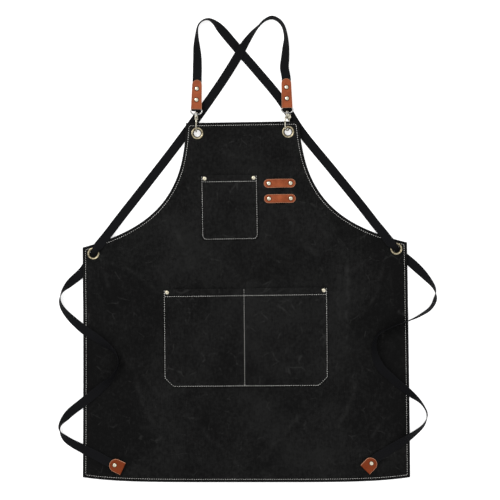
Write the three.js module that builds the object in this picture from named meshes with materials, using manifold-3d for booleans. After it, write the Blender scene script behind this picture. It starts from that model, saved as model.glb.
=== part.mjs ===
// A cross-back artist smock apron, laid flat with its front face up. Millimetres, +Z up.
// +Y runs from the hem to the neck, +X to the right as it is seen from above.
import * as THREE from 'three';
import { mergeVertices } from 'three/addons/utils/BufferGeometryUtils.js';
import Module from 'manifold-3d';

const wasm = await Module();
wasm.setup();

// Driving dimensions.
const gap = 0.3; // left between pieces that touch
const panelHeight = 755;
const skirtWidth = 687;
const waistWidth = 680;
const bibWidth = 236;
const armholeDepth = 257;
const hemBow = 10.5; // the bottom hem dips this much below its corners
const canvas = 1.1;
const hemWidth = 8;
const hemBuild = 1.5; // the turned layers under the side and bottom hems
const bibLift = 9.5; // the hooks hold the top of the bib off the table
const cornerLift = 3.4; // the ties pass under the waist corners
const bibDrift = -8.4; // how far the bib is drawn sideways as it lies
const skew = 0.016; // sideways slope of the waist and the bib

const strapWidth = 19;
const strapThick = 1.3;
const leather = 1.4;

const grommet = { outer: 12.75, hole: 7.15, barrel: 7.9, flange: 1, washerOuter: 12 };
grommet.washerInner = grommet.barrel + gap;
const bibGrommet = { x: 95, fromTop: 22 };
const waistGrommet = { fromSide: 22.5, fromCorner: 13.1 };

const rivet = { cap: 4.5, dome: 1.7, disc: 1.1, shank: 1.5 };

const chestPocket = { x: -30.5, width: 119, height: 136, top: 267.3, chamfer: 6, billow: 7 };
const lowerPocket = { x: 0, width: 345, height: 207, top: 29.5, chamfer: 19, billow: 7.5 };
const pocketCloth = 1.6;
const pocketSeam = 13.5; // stitched flat along each edge
const pocketRivet = { fromSide: 8.2, fromMouth: 6.5 };

const toolLoop = { x: 75.3, heights: [248.6, 216.5], length: 66.3, width: 18, rivets: 45.6, arch: 6.3 };

// The leather is this much wider than the webbing on each side.
const margin = { tabLow: 1.75, tabHigh: 0.75, tip: 4 };
const tab = { low: 0.8, high: 63.2, rivets: [21, 44.6], pitch: -4 };
tab.widthLow = strapWidth + 2 * margin.tabLow;
tab.widthHigh = strapWidth + 2 * margin.tabHigh;
const tip = { length: 28, width: strapWidth + 2 * margin.tip, rivet: 11 };

const hook = { wire: 1.5, half: 6.5, intoHole: 3.2, stud: 2, head: 3.2, hub: 3.5 };
const bow = { wire: 1.5, play: 0.9, drop: 9.2, collar: 3.7, collarLong: 4, bore: hook.stud + gap };
bow.halfWidth = strapWidth / 2 + bow.play + bow.wire;
const gatePivot = { y: -19.5, z: -6.5, pin: 0.9, boss: 2.1 };
const barAboveHole = 49; // the bow's bar above the middle of the bib grommet

// Where the panel's edges and levels fall.
const top = panelHeight / 2;
const bottom = -panelHeight / 2;
const waist = top - armholeDepth;
const panelBack = hemBuild;
const panelTop = panelBack + canvas;
const rampLow = top - 105;
const rampHigh = top - 45;

const cloth = { color: 0x1c1c1d, roughness: 0.92, metalness: 0 };
const webbing = { color: 0x19191b, roughness: 0.85, metalness: 0 };
const tan = { color: 0x975b40, roughness: 0.6, metalness: 0 };
const brass = { color: 0x8a6b3e, roughness: 0.35, metalness: 1 };
const paleBrass = { color: 0xd6d0bc, roughness: 0.3, metalness: 1 };
const nickel = { color: 0xb9b6ae, roughness: 0.25, metalness: 1 };

const apron = new THREE.Group();

const clamp = (value) => Math.min(1, Math.max(0, value));
const mix = (a, b, share) => a + (b - a) * share;

// Closes a geometry into one mesh of shared corners with its faces pointing out.
function welded(geometry) {
  const bare = geometry.clone();
  bare.deleteAttribute('normal');
  bare.deleteAttribute('uv');
  const merged = mergeVertices(bare, 1e-4);
  const corners = merged.index.array;
  const spots = merged.attributes.position;
  const [a, b, c] = [new THREE.Vector3(), new THREE.Vector3(), new THREE.Vector3()];
  const kept = [];
  let volume = 0;
  for (let i = 0; i < corners.length; i += 3) {
    const [p, q, r] = corners.slice(i, i + 3);
    if (p === q || q === r || r === p) continue;
    kept.push([p, q, r]);
    volume += a.fromBufferAttribute(spots, p)
      .dot(b.fromBufferAttribute(spots, q).cross(c.fromBufferAttribute(spots, r)));
  }
  merged.setIndex(kept.map((face) => (volume < 0 ? face.reverse() : face)).flat());
  return merged;
}

function solidOf(geometry) {
  const mesh = welded(geometry);
  return new wasm.Manifold(new wasm.Mesh({
    numProp: 3,
    vertProperties: new Float32Array(mesh.attributes.position.array),
    triVerts: new Uint32Array(mesh.index.array),
  }));
}

function geometryOf(solid) {
  const mesh = solid.getMesh();
  const geometry = new THREE.BufferGeometry();
  geometry.setAttribute('position', new THREE.BufferAttribute(mesh.vertProperties, 3));
  geometry.setIndex(new THREE.BufferAttribute(mesh.triVerts, 1));
  return geometry;
}

function cut(geometry, tools) {
  return geometryOf(tools.reduce((solid, tool) => solid.subtract(solidOf(tool)), solidOf(geometry)));
}

function joined(geometries) {
  return geometryOf(geometries.map(solidOf).reduce((whole, piece) => whole.add(piece)));
}

// A box whose grid of corners is moved to place(column, row, onTop).
function bentBox(columns, rows, place) {
  const box = new THREE.BoxGeometry(1, 1, 1, columns, rows, 1);
  const spots = box.attributes.position;
  for (let i = 0; i < spots.count; i += 1) {
    const column = Math.round((spots.getX(i) + 0.5) * columns);
    const row = Math.round((spots.getY(i) + 0.5) * rows);
    spots.setXYZ(i, ...place(column, row, spots.getZ(i) > 0));
  }
  return welded(box);
}

// A turned piece: pairs of radius and height, spun about +Z.
function turned(profile, sides) {
  const points = profile.map(([radius, height]) => new THREE.Vector2(radius, height));
  return welded(new THREE.LatheGeometry(points, sides).rotateX(Math.PI / 2));
}

function rod(radius, low, high, sides = 10) {
  return turned([[0, low], [radius, low], [radius, high], [0, high]], sides);
}

// Round wire carried along a curve.
function wire(curve, radius, sides, steps) {
  const section = new THREE.Shape();
  for (let i = 0; i < sides; i += 1) {
    const turn = (2 * Math.PI * i) / sides;
    const corner = [radius * Math.cos(turn), radius * Math.sin(turn)];
    if (i === 0) section.moveTo(...corner);
    else section.lineTo(...corner);
  }
  return welded(new THREE.ExtrudeGeometry(section, { steps, extrudePath: curve, bevelEnabled: false }));
}

function add(parent, name, geometry, finish) {
  const mesh = new THREE.Mesh(geometry, new THREE.MeshStandardMaterial({ ...finish, flatShading: true }));
  mesh.name = name;
  parent.add(mesh);
  return mesh;
}

// The armhole: one cubic curve from the bib's corner out to the waist corner.
const armhole = new THREE.CubicBezierCurve(
  new THREE.Vector2(bibWidth / 2, 0),
  new THREE.Vector2(bibWidth / 2 + 7, 0.548 * armholeDepth),
  new THREE.Vector2(waistWidth / 2 - 161, 0.842 * armholeDepth),
  new THREE.Vector2(waistWidth / 2, armholeDepth),
);

function halfWidthAt(y) {
  if (y <= waist) return mix(skirtWidth, waistWidth, (y - bottom) / (waist - bottom)) / 2;
  let [low, high] = [0, 1];
  for (let i = 0; i < 30; i += 1) {
    const middle = (low + high) / 2;
    if (armhole.getPoint(middle).y < top - y) low = middle;
    else high = middle;
  }
  return armhole.getPoint(low).x;
}

// The flat pattern as it lies: the bib drifts to one side and the waist slopes a little.
function laid(x, y) {
  const share = (y - bottom) / panelHeight;
  return [x + bibDrift * share ** 2, y + skew * x * Math.min(1, share / 0.6)];
}

const holeX = waistWidth / 2 - waistGrommet.fromSide;
const holeY = waist - waistGrommet.fromCorner;

// How far the cloth is held off the table.
function liftAt(x, y) {
  const bib = bibLift * clamp((y - rampLow) / (rampHigh - rampLow));
  const away = Math.hypot(Math.abs(x) - holeX, y - holeY);
  return Math.max(bib, cornerLift * Math.cos((Math.PI / 2) * clamp((away - 64) / 66)) ** 2);
}

function onPanel(x, y, height) {
  return [...laid(x, y), height];
}

// Pockets, loops and grommets pierce the panel here.
const piercings = [];

function pierce(x, y, radius, sides = 8) {
  const [laidX, laidY] = laid(x, y);
  piercings.push(rod(radius, -5, bibLift + 10, sides).translate(laidX, laidY, 0));
}

// One rivet: a capped front, and a post with a broad back disc. Heights are from the parent.
function addRivet(parent, name, x, y, back, front) {
  const post = [
    [0, back], [rivet.cap, back], [rivet.cap, back + rivet.disc], [rivet.shank, back + rivet.disc],
    [rivet.shank, front - gap], [0, front - gap],
  ];
  const cap = [
    [0, front], [rivet.cap, front], [rivet.cap, front + 0.4 * rivet.dome],
    [0.72 * rivet.cap, front + 0.85 * rivet.dome], [0, front + rivet.dome],
  ];
  add(parent, `${name}_post`, turned(post, 8).translate(x, y, 0), brass);
  add(parent, `${name}_cap`, turned(cap, 8).translate(x, y, 0), paleBrass);
}

function addPanelRivet(name, x, y, front) {
  const [laidX, laidY] = laid(x, y);
  addRivet(apron, name, laidX, laidY, panelBack - gap - rivet.disc, front);
  pierce(x, y, rivet.shank + gap);
}

// A patch pocket, stitched flat on three sides, whose mouth stands open between its seams.
function addPocket(name, pocket, seams, rivetNames) {
  const half = pocket.width / 2;
  const low = pocket.top - pocket.height;
  const insets = [0, pocketSeam, pocketSeam + 8, pocketSeam + 22];
  const across = [];
  for (let i = 0; i + 1 < seams.length; i += 1) {
    const [left, right] = [seams[i], seams[i + 1]];
    const flat = insets.map((inset) => (inset > 0 && Math.abs(left) < half ? inset - pocketSeam + 3 : inset));
    const flatRight = insets.map((inset) => (inset > 0 && right < half ? inset - pocketSeam + 3 : inset));
    across.push(...flat.map((inset) => left + inset), (left + right) / 2);
    across.push(...flatRight.slice(1).map((inset) => right - inset).reverse());
  }
  across.push(half);
  const up = [0, pocket.chamfer, pocketSeam, pocketSeam + 22];
  for (let i = 1; i <= 5; i += 1) up.push(mix(pocketSeam + 22, pocket.height, i / 5));
  up.sort((a, b) => a - b);
  const billow = (x, height) => {
    const side = seams.reduce((least, seam) => {
      const flat = Math.abs(seam) < half ? 3 : pocketSeam;
      return Math.min(least, clamp((Math.abs(x - seam) - flat) / 22));
    }, 1);
    const above = clamp((height - pocketSeam) / (pocket.height - pocketSeam));
    return pocket.billow * Math.sin((Math.PI / 2) * side) * above;
  };
  const place = (column, row, onTop) => {
    const height = up[row];
    const narrow = pocket.chamfer * (1 - clamp(height / pocket.chamfer));
    const x = across[column] * (1 - narrow / half);
    const z = panelTop + gap + billow(across[column], height) + (onTop ? pocketCloth : 0);
    return onPanel(pocket.x + x, low + height, z);
  };
  const y = pocket.top - pocketRivet.fromMouth;
  const holes = [-1, 1].map((side) => {
    const x = pocket.x + side * (half - pocketRivet.fromSide);
    const front = panelTop + 2 * gap + pocketCloth;
    addPanelRivet(rivetNames[side < 0 ? 0 : 1], x, y, front);
    const [laidX, laidY] = laid(x, y);
    return rod(rivet.shank + gap, 0, 20).translate(laidX, laidY, 0);
  });
  add(apron, name, cut(bentBox(across.length - 1, up.length - 1, place), holes), cloth);
}

// A round-ended leather strip riveted at both ends and arched between them.
function addToolLoop(name, y) {
  const reach = toolLoop.length / 2;
  const round = toolLoop.width / 2;
  const flatFrom = toolLoop.rivets / 2 - rivet.cap - 0.3;
  const along = [];
  for (let i = 0; i <= 4; i += 1) along.push(reach - round + round * Math.sin((i / 4) * 1.3));
  for (let i = 0; i <= 4; i += 1) along.unshift(mix(0, flatFrom, 1 - i / 4));
  const stations = [...along.slice(1).reverse().map((x) => -x), ...along];
  const place = (column, row, onTop) => {
    const x = stations[column];
    const past = Math.max(0, Math.abs(x) - (reach - round));
    const half = Math.sqrt(round ** 2 - past ** 2);
    const arch = toolLoop.arch * Math.cos((Math.PI / 2) * clamp(Math.abs(x) / flatFrom)) ** 2;
    const z = panelTop + gap + arch + (onTop ? leather : 0);
    return onPanel(toolLoop.x + x, y + half * (row - 1), z);
  };
  const holes = [-1, 1].map((side) => {
    const x = toolLoop.x + (side * toolLoop.rivets) / 2;
    addPanelRivet(`${name}_rivet_${side < 0 ? 'left' : 'right'}`, x, y, panelTop + 2 * gap + leather);
    const [laidX, laidY] = laid(x, y);
    return rod(rivet.shank + gap, 0, 20).translate(laidX, laidY, 0);
  });
  add(apron, name, cut(bentBox(stations.length - 1, 2, place), holes), tan);
}

// A two-piece grommet: the eyelet's flange and barrel, and the washer behind the cloth.
function addGrommet(name, x, y) {
  const lift = liftAt(x, y);
  const front = panelTop + lift + gap;
  const back = panelBack + lift - gap;
  const eyelet = [
    [grommet.hole, back - grommet.flange - 0.2], [grommet.barrel, back - grommet.flange - 0.2],
    [grommet.barrel, front], [grommet.outer, front], [grommet.outer, front + 0.3],
    [grommet.outer - 1.6, front + grommet.flange], [grommet.barrel, front + grommet.flange],
    [grommet.hole, front + 0.6 * grommet.flange], [grommet.hole, back - grommet.flange - 0.2],
  ];
  const washer = [
    [grommet.washerInner, back - grommet.flange], [grommet.washerOuter, back - grommet.flange],
    [grommet.washerOuter, back], [grommet.washerInner, back], [grommet.washerInner, back - grommet.flange],
  ];
  const [laidX, laidY] = laid(x, y);
  add(apron, `${name}_eyelet`, turned(eyelet, 16).translate(laidX, laidY, 0), brass);
  add(apron, `${name}_washer`, turned(washer, 14).translate(laidX, laidY, 0), brass);
  pierce(x, y, grommet.barrel + gap, 16);
  return [laidX, laidY];
}

// The canvas panel, with its side and bottom hems turned under.
function addPanel() {
  const rows = [bottom, bottom + hemWidth, bottom + hemWidth + 1];
  [0.2, 0.38, 0.55, 0.68, 0.79, 0.87, 0.94].forEach((share) => rows.push(mix(bottom, waist, share)));
  for (let i = 0; i < 9; i += 1) rows.push(mix(waist, rampLow, (i / 9) ** 1.6));
  rows.push(rampLow, mix(rampLow, rampHigh, 0.5), rampHigh, top);
  const inner = [0.8, 0.62, 0.42, 0.2];
  const columns = [
    [-1, 0], [-1, hemWidth], [-1, hemWidth + 1], ...inner.map((share) => [-share, hemWidth + 1]), [0, 0],
    ...inner.map((share) => [share, hemWidth + 1]).reverse(), [1, hemWidth + 1], [1, hemWidth], [1, 0],
  ];
  const place = (column, row, onTop) => {
    const level = rows[row];
    const [share, inset] = columns[column];
    const x = share * (halfWidthAt(level) - inset);
    const dip = hemBow * Math.abs(share) ** 5 * clamp(1 - (level - bottom) / 220);
    const inHem = (level <= waist && Math.abs(share) === 1 && inset <= hemWidth) || row < 2;
    const back = panelBack - (inHem ? hemBuild : 0);
    return onPanel(x, level + dip, liftAt(x, level) + (onTop ? panelTop : back));
  };
  add(apron, 'apron_panel', cut(bentBox(columns.length - 1, rows.length - 1, place), piercings), cloth);
}

// A band's solid from its corners: in each row three across the front, then three across the
// back. Both faces are split along the same diagonals, so a twisted stretch keeps its thickness.
function bandSolid(corners, rows) {
  const faces = [];
  const quad = (a, b, c, d) => faces.push(a, b, c, a, c, d);
  for (let row = 0; row < rows; row += 1) {
    const here = 6 * row;
    const next = here + 6;
    for (const column of [0, 1]) {
      quad(here + column, here + column + 1, next + column + 1, next + column);
      faces.push(here + column + 3, next + column + 4, here + column + 4);
      faces.push(here + column + 3, next + column + 3, next + column + 4);
    }
    quad(here, next, next + 3, here + 3);
    quad(here + 2, here + 5, next + 5, next + 2);
  }
  const last = 6 * rows;
  for (const column of [0, 1]) {
    quad(column, column + 3, column + 4, column + 1);
    quad(last + column, last + column + 1, last + column + 4, last + column + 3);
  }
  const geometry = new THREE.BufferGeometry();
  geometry.setAttribute('position', new THREE.Float32BufferAttribute(corners, 3));
  geometry.setIndex(faces);
  return welded(geometry);
}

// A flat band carried along its route. Each stop holds a place, the direction across the band,
// and the band's width there.
function band(stops) {
  const curve = new THREE.CatmullRomCurve3(stops.map((stop) => stop.place), false, 'centripetal');
  const rows = 2 * (stops.length - 1);
  const sections = [];
  for (let row = 0; row <= rows; row += 1) {
    const before = stops[Math.floor(row / 2)];
    const after = stops[Math.ceil(row / 2)];
    const middle = curve.getPoint(row / rows);
    const ahead = curve.getTangent(row / rows);
    const across = before.across.clone().add(after.across);
    across.addScaledVector(ahead, -across.dot(ahead)).normalize();
    const face = ahead.clone().cross(across);
    sections.push({ middle, across, face, width: (before.width + after.width) / 2 });
  }
  const corners = sections.flatMap(({ middle, across, face, width }) => [1, -1].flatMap((side) => (
    [-1, 0, 1].flatMap((column) => middle.clone().addScaledVector(across, (column * width) / 2)
      .addScaledVector(face, (side * strapThick) / 2).toArray()))));
  return bandSolid(corners, rows);
}

// The hook's tab: two leather faces riveted over the webbing that turns round the bow's bar.
const layer = strapThick / 2 + gap / 2; // from the middle of the doubled webbing to each run
const runBack = -(bow.wire + gap + strapThick / 2);
const runFront = runBack + 2 * layer;
const rampOut = 16;
const climb = (y) => (-runBack - runFront) * 0.5 * (1 + Math.cos(Math.PI * clamp(y / rampOut)));

function addTab(side, place, turn) {
  const group = new THREE.Group();
  group.position.set(...place);
  group.rotation.set(THREE.MathUtils.degToRad(tab.pitch), 0, THREE.MathUtils.degToRad(turn), 'ZXY');
  apron.add(group);
  group.updateMatrixWorld();
  const round = tab.widthHigh / 2;
  const along = [tab.low, 4, 8, 12, rampOut, 34];
  for (let i = 0; i <= 5; i += 1) along.push(tab.high - round + round * Math.sin((i / 5) * 1.3));
  const face = (low, lift) => bentBox(2, along.length - 1, (column, row, onTop) => {
    const y = along[row];
    const past = Math.max(0, y - (tab.high - round));
    const straight = mix(tab.widthLow, tab.widthHigh, clamp((y - tab.low) / (tab.high - round))) / 2;
    const half = past > 0 ? Math.sqrt(round ** 2 - past ** 2) : straight;
    return [half * (column - 1), y, low + lift(y) + (onTop ? leather : 0)];
  });
  const holes = () => tab.rivets.map((y) => rod(rivet.shank + gap, -12, 12).translate(0, y, 0));
  const frontLow = runFront + strapThick / 2 + gap;
  const backLow = runBack - strapThick / 2 - gap - leather;
  add(group, `${side}_tab_front`, cut(face(frontLow, (y) => 1.1 * climb(y)), holes()), tan);
  add(group, `${side}_tab_back`, cut(face(backLow, () => 0), holes()), tan);
  tab.rivets.forEach((y, i) => {
    const name = `${side}_tab_rivet_${i === 0 ? 'lower' : 'upper'}`;
    addRivet(group, name, 0, y, backLow - gap - rivet.disc, frontLow + leather + gap);
  });
  const fold = [
    [52, runBack], [8, runBack], [0, runBack], [0.7 * runBack, 0.7 * runBack], [runBack, 0],
    [0.7 * runBack, -0.7 * runBack], [0, -runBack], [8, runFront + climb(8)], [rampOut, runFront],
    [34, runFront], [tab.high + 3, runFront],
  ];
  const acrossTab = new THREE.Vector3(-1, 0, 0).transformDirection(group.matrixWorld);
  const stops = fold.map(([y, z]) => ({
    place: group.localToWorld(new THREE.Vector3(0, y, z)), across: acrossTab, width: strapWidth,
  }));
  return { stops, holes: holes().map((hole) => hole.applyMatrix4(group.matrixWorld)) };
}

// The D-shaped leather end: one strip folded over the webbing, with a rivet through all of it.
const tipLevels = { disc: gap, lower: 2 * gap + rivet.disc };
tipLevels.webbing = tipLevels.lower + leather + gap;
tipLevels.upper = tipLevels.webbing + strapThick + gap;

function addTip(name, place, turn) {
  const group = new THREE.Group();
  group.position.set(...place);
  group.rotation.z = THREE.MathUtils.degToRad(turn);
  apron.add(group);
  group.updateMatrixWorld();
  const half = tip.width / 2;
  const outline = new THREE.Shape();
  outline.moveTo(half - tip.rivet, -half);
  outline.lineTo(tip.length - tip.rivet, -half);
  outline.lineTo(tip.length - tip.rivet, half);
  outline.lineTo(half - tip.rivet, half);
  outline.absarc(half - tip.rivet, 0, half, Math.PI / 2, (3 * Math.PI) / 2, false);
  const flat = { depth: leather, bevelEnabled: false, curveSegments: 10 };
  const flap = (low) => new THREE.ExtrudeGeometry(outline, flat).translate(0, 0, low);
  const foldRadius = (tipLevels.upper + leather - tipLevels.lower) / 2;
  const bend = new THREE.Shape();
  bend.absarc(0, 0, foldRadius, -Math.PI / 2, Math.PI / 2, false);
  bend.absarc(0, 0, foldRadius - leather, Math.PI / 2, -Math.PI / 2, true);
  const fold = new THREE.ExtrudeGeometry(bend, { depth: tip.width, bevelEnabled: false, curveSegments: 8 })
    .rotateX(Math.PI / 2)
    .translate(tip.length - tip.rivet - 0.01, half, tipLevels.lower + foldRadius);
  const hole = () => rod(rivet.shank + gap, -1, 12);
  const body = joined([flap(tipLevels.lower), flap(tipLevels.upper), fold]);
  add(group, name, cut(body, [hole()]), tan);
  addRivet(group, `${name}_rivet`, 0, 0, tipLevels.disc, tipLevels.upper + leather + gap);
  const acrossTip = new THREE.Vector3(0, 1, 0).transformDirection(group.matrixWorld);
  const stops = [-15, tip.length - tip.rivet - 2].map((x) => ({
    place: group.localToWorld(new THREE.Vector3(x, 0, tipLevels.webbing + strapThick / 2)),
    across: acrossTip,
    width: strapWidth,
  }));
  return { stops, holes: [hole().applyMatrix4(group.matrixWorld)] };
}

// Free stretches: [x, y, height of the middle, lean in degrees, width]. A lean of 0 lies flat,
// and 90 stands on edge with the left edge up, as seen along the route.
function freeStops(points) {
  const spots = points.map(([x, y, z]) => new THREE.Vector3(x, y, z));
  return points.map(([, , , lean, width = strapWidth], i) => {
    const ahead = spots[Math.min(i + 1, spots.length - 1)].clone().sub(spots[Math.max(i - 1, 0)]);
    const left = new THREE.Vector3(-ahead.y, ahead.x, 0).normalize();
    const angle = THREE.MathUtils.degToRad(lean);
    const across = left.multiplyScalar(Math.cos(angle)).add(new THREE.Vector3(0, 0, Math.sin(angle)));
    return { place: spots[i], across, width };
  });
}

function addStrap(name, start, points, end, flipped) {
  const facing = flipped ? -1 : 1;
  const last = end.stops.map((stop) => ({ ...stop, across: stop.across.clone().multiplyScalar(facing) }));
  const stops = [...start.stops, ...freeStops(points), ...last];
  add(apron, name, cut(band(stops), [...start.holes, ...end.holes]), webbing);
}

// The snap hook: its bow on the webbing, and a hook that swivels in the bow's collar.
function addHook(side, place, turn, reach) {
  const group = new THREE.Group();
  group.position.set(...place);
  apron.add(group);
  const collarTop = bow.collarLong / 2 - bow.drop;
  const collarLow = collarTop - bow.collarLong;
  const spin = (profile, sides = 12) => turned(profile, sides).rotateX(-Math.PI / 2);
  const ring = [
    [2.9, -bow.drop], [bow.halfWidth - 4.9, -8.6], [bow.halfWidth - 1.7, -6], [bow.halfWidth, -2.8],
    [bow.halfWidth - 0.5, -0.8], [bow.halfWidth - 1.8, 0], [0, 0],
  ];
  const outline = [...ring, ...ring.slice(0, -1).reverse().map(([x, y]) => [-x, y])];
  const bowCurve = new THREE.CatmullRomCurve3(
    outline.map(([x, y]) => new THREE.Vector3(x, y, 0)), false, 'centripetal',
  );
  const collar = spin([[0, collarLow], [bow.collar, collarLow], [bow.collar, collarTop], [0, collarTop]]);
  const bore = spin([
    [0, collarLow - 1], [bow.bore, collarLow - 1], [bow.bore, collarTop + 1], [0, collarTop + 1],
  ]);
  const bowSolid = cut(joined([wire(bowCurve, bow.wire, 6, 24), collar]), [bore]);
  add(group, `${side}_hook_bow`, bowSolid, nickel);

  const swivel = new THREE.Group();
  swivel.rotation.y = THREE.MathUtils.degToRad(turn);
  group.add(swivel);
  const hubTop = collarLow - gap;
  const stud = spin([
    [0, hubTop - 5.5], [2.2, hubTop - 5.5], [hook.hub, hubTop - 3.5], [hook.hub, hubTop], [hook.stud, hubTop],
    [hook.stud, collarTop + gap], [hook.head, collarTop + gap], [hook.head, collarTop + gap + 1.2],
    [hook.stud, collarTop + gap + 1.9], [0, collarTop + gap + 1.9],
  ]);
  const turnY = hook.half - reach;
  const tipY = turnY + 3.4;
  const line = [[hubTop - 3.5, 0], [hubTop - 5.5, 2.6], [hubTop - 8, 5.4], [hubTop - 12, hook.half]];
  for (let i = 0; i <= 6; i += 1) {
    const swing = (Math.PI * i) / 6;
    line.push([turnY - hook.half * Math.sin(swing), hook.half * Math.cos(swing)]);
  }
  line.push([tipY, -hook.half]);
  const hookCurve = new THREE.CatmullRomCurve3(
    line.map(([y, z]) => new THREE.Vector3(0, y, z)), false, 'centripetal',
  );
  const ears = [-1, 1].map((face) => new THREE.BoxGeometry(1.1, 8.4, 7.6)
    .translate(face * 2.7, gatePivot.y + 2.7, gatePivot.z + 2.3));
  const bridge = new THREE.BoxGeometry(6.5, 3, 4.4).translate(0, gatePivot.y + 5.4, gatePivot.z + 3.9);
  const cross = (radius, low, high, sides = 10) => rod(radius, low, high, sides).rotateY(Math.PI / 2)
    .translate(0, gatePivot.y, gatePivot.z);
  const hookSolid = joined([stud, wire(hookCurve, hook.wire, 6, 24), ...ears, bridge]);
  add(swivel, `${side}_hook_body`, cut(hookSolid, [cross(gatePivot.pin + 0.2, -5, 5)]), brass);

  add(swivel, `${side}_gate_pin`, cross(gatePivot.pin, -3.6, 3.6), paleBrass);
  const boss = cross(gatePivot.boss, -1.9, 0.3, 14);
  const barLow = tipY + gap;
  const bar = spin([[0, barLow], [1.2, barLow], [1.2, gatePivot.y], [0, gatePivot.y]], 10)
    .translate(0, 0, gatePivot.z);
  const thumb = new THREE.SphereGeometry(1.3, 8, 6).translate(-0.8, gatePivot.y + 1.7, gatePivot.z - 1.8);
  const pinHole = cross(gatePivot.pin + 0.2, -5, 5);
  const gateSolid = cut(joined([boss, bar, thumb]), [cross(gatePivot.boss, 0.3, 4, 14), pinHole]);
  add(swivel, `${side}_gate`, gateSolid, brass);
  const coil = [];
  for (let i = 0; i <= 16; i += 1) {
    const turnOf = (i / 16) * 3 * Math.PI;
    coil.push(new THREE.Vector3(0.65 + i * 0.065, 1.5 * Math.sin(turnOf), 1.5 * Math.cos(turnOf)));
  }
  const spring = wire(new THREE.CatmullRomCurve3(coil), 0.22, 5, 24).translate(0, gatePivot.y, gatePivot.z);
  add(swivel, `${side}_gate_spring`, spring, nickel);
}

// Everything stitched or riveted to the panel.
const half = lowerPocket.width / 2;
const chestHalf = chestPocket.width / 2;
addPocket('chest_pocket', chestPocket, [-chestHalf, chestHalf], ['chest_rivet_left', 'chest_rivet_right']);
addPocket('lower_pocket', lowerPocket, [-half, 0, half], ['lower_rivet_left', 'lower_rivet_right']);
toolLoop.heights.forEach((y, i) => addToolLoop(i === 0 ? 'upper_tool_loop' : 'lower_tool_loop', y));
const bibHoles = [-1, 1].map((side) => (
  addGrommet(side < 0 ? 'bib_left' : 'bib_right', side * bibGrommet.x, top - bibGrommet.fromTop)));
[-1, 1].forEach((side) => addGrommet(side < 0 ? 'waist_left' : 'waist_right', side * holeX, holeY));
addPanel();

// The hooks hang beside the middle of their grommets, and the right one is turned.
const hookHeight = panelBack + bibLift + canvas / 2;
const reach = barAboveHole - hook.intoHole;
const hooks = [
  { side: 'left', x: bibHoles[0][0] - 2.2, y: bibHoles[0][1] + barAboveHole, turn: 0, tabTurn: -1.5 },
  { side: 'right', x: bibHoles[1][0] - 1.8, y: bibHoles[1][1] + barAboveHole, turn: -42, tabTurn: 2 },
];
const starts = hooks.map(({ side, x, y, turn, tabTurn }) => {
  addHook(side, [x, y, hookHeight], turn, reach);
  return addTab(side, [x, y, hookHeight], tabTurn);
});

// The left strap runs from the left hook over the loop, under the right one's tab and the bib's
// corner, through the right waist grommet, and out as a tie that wanders over the right hem.
const leftRoute = [
  [-103, 492, 5.6, 8], [-103, 512, 6.6, 22], [-104, 534, 8.4, 42], [-104, 560, 9.6, 72],
  [-101, 580, 10, 88], [-92, 590, 10, 90], [-80, 593, 9.9, 84], [-67, 586.5, 9.1, 64],
  [-54, 573.5, 6, 30], [-37, 554, 1.9, 4], [-14, 527, 1, 0], [20, 488, 0.85, 0], [72, 425, 0.85, 0],
  [112, 362, 0.85, 0], [180, 278, 0.85, 0], [240, 204, 1.3, 0], [270, 165, 4.4, 0], [287, 144, 8, 0],
  [302.5, 124.5, 8.8, 0, 16], [310.6, 116, 8.2, 0, 10], [314.1, 112.5, 5.2, 0, 9.5],
  [317.6, 109, 2.2, 0, 10], [325, 101.6, 1, 0, 16], [345, 84, 1.3, 0], [377, 52, 8, 45],
  [394, 28, 10, 80], [395, 7, 9, 121], [386, -11, 9.4, 119], [364, -26.5, 11.6, 111],
  [341, -37.5, 12.6, 100], [303, -52, 12.6, 90], [276, -67, 12.6, 88], [267, -90, 12, 66],
  [277, -130, 8.7, 28], [308, -162, 9, 30], [341, -189, 10.4, 40], [367, -212, 10.4, 78],
  [378, -234, 10, 90], [372, -255, 10, 112], [341, -282, 9.6, 142], [301, -308, 5.2, 172],
];
const rightRoute = [
  [79.5, 492, 5.6, -8], [81, 512, 7, -25], [82.3, 534, 8.4, -42], [82.4, 557, 9.4, -66],
  [76.5, 579.5, 9.8, -72], [67.5, 590.5, 9.8, -73], [54, 596.5, 9.8, -74], [39, 591.5, 9.8, -80],
  [25, 578, 10.4, -82], [12, 563, 10.6, -62], [-3, 542, 8.6, -38], [-20, 513, 4.3, -10],
  [-45, 473, 1.2, 0], [-91, 406, 0.85, 0], [-148, 328, 0.85, 0], [-226, 227, 0.85, 0],
  [-262, 181, 1.6, 0], [-292, 141, 7.6, 0], [-311, 117.5, 8.8, 0, 16], [-318.2, 106.5, 8.2, 0, 10],
  [-321, 102.3, 5.2, 0, 9.5], [-323.7, 98.1, 2.2, 0, 10], [-329.5, 88.5, 1.1, 0, 16],
  [-344.5, 64, 1.35, 0], [-370.5, 40, 7.1, -38], [-386, 22, 10, -76], [-390.5, 4, 9.9, -96],
  [-382.5, -16, 9, -130], [-341, -57, 6.2, -168], [-306, -80, 9.1, -148], [-276, -104, 12.3, -112],
  [-268, -127, 12.7, -92], [-279, -154, 12.1, -64], [-308, -182, 7.9, -22], [-342, -209, 5.6, -6],
  [-375, -236.5, 6.6, -30], [-391.5, -262, 10.4, -84], [-379, -285, 7.2, -144], [-342, -307.5, 4.6, -174],
  [-314, -321.5, 5.2, -178],
];
const rightEnd = addTip('left_strap_tip', [261.8, -337, panelTop], -134);
const leftEnd = addTip('right_strap_tip', [-276.2, -340.8, panelTop], -25);
addStrap('left_strap', starts[0], leftRoute, rightEnd, true);
addStrap('right_strap', starts[1], rightRoute, leftEnd, true);

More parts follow.
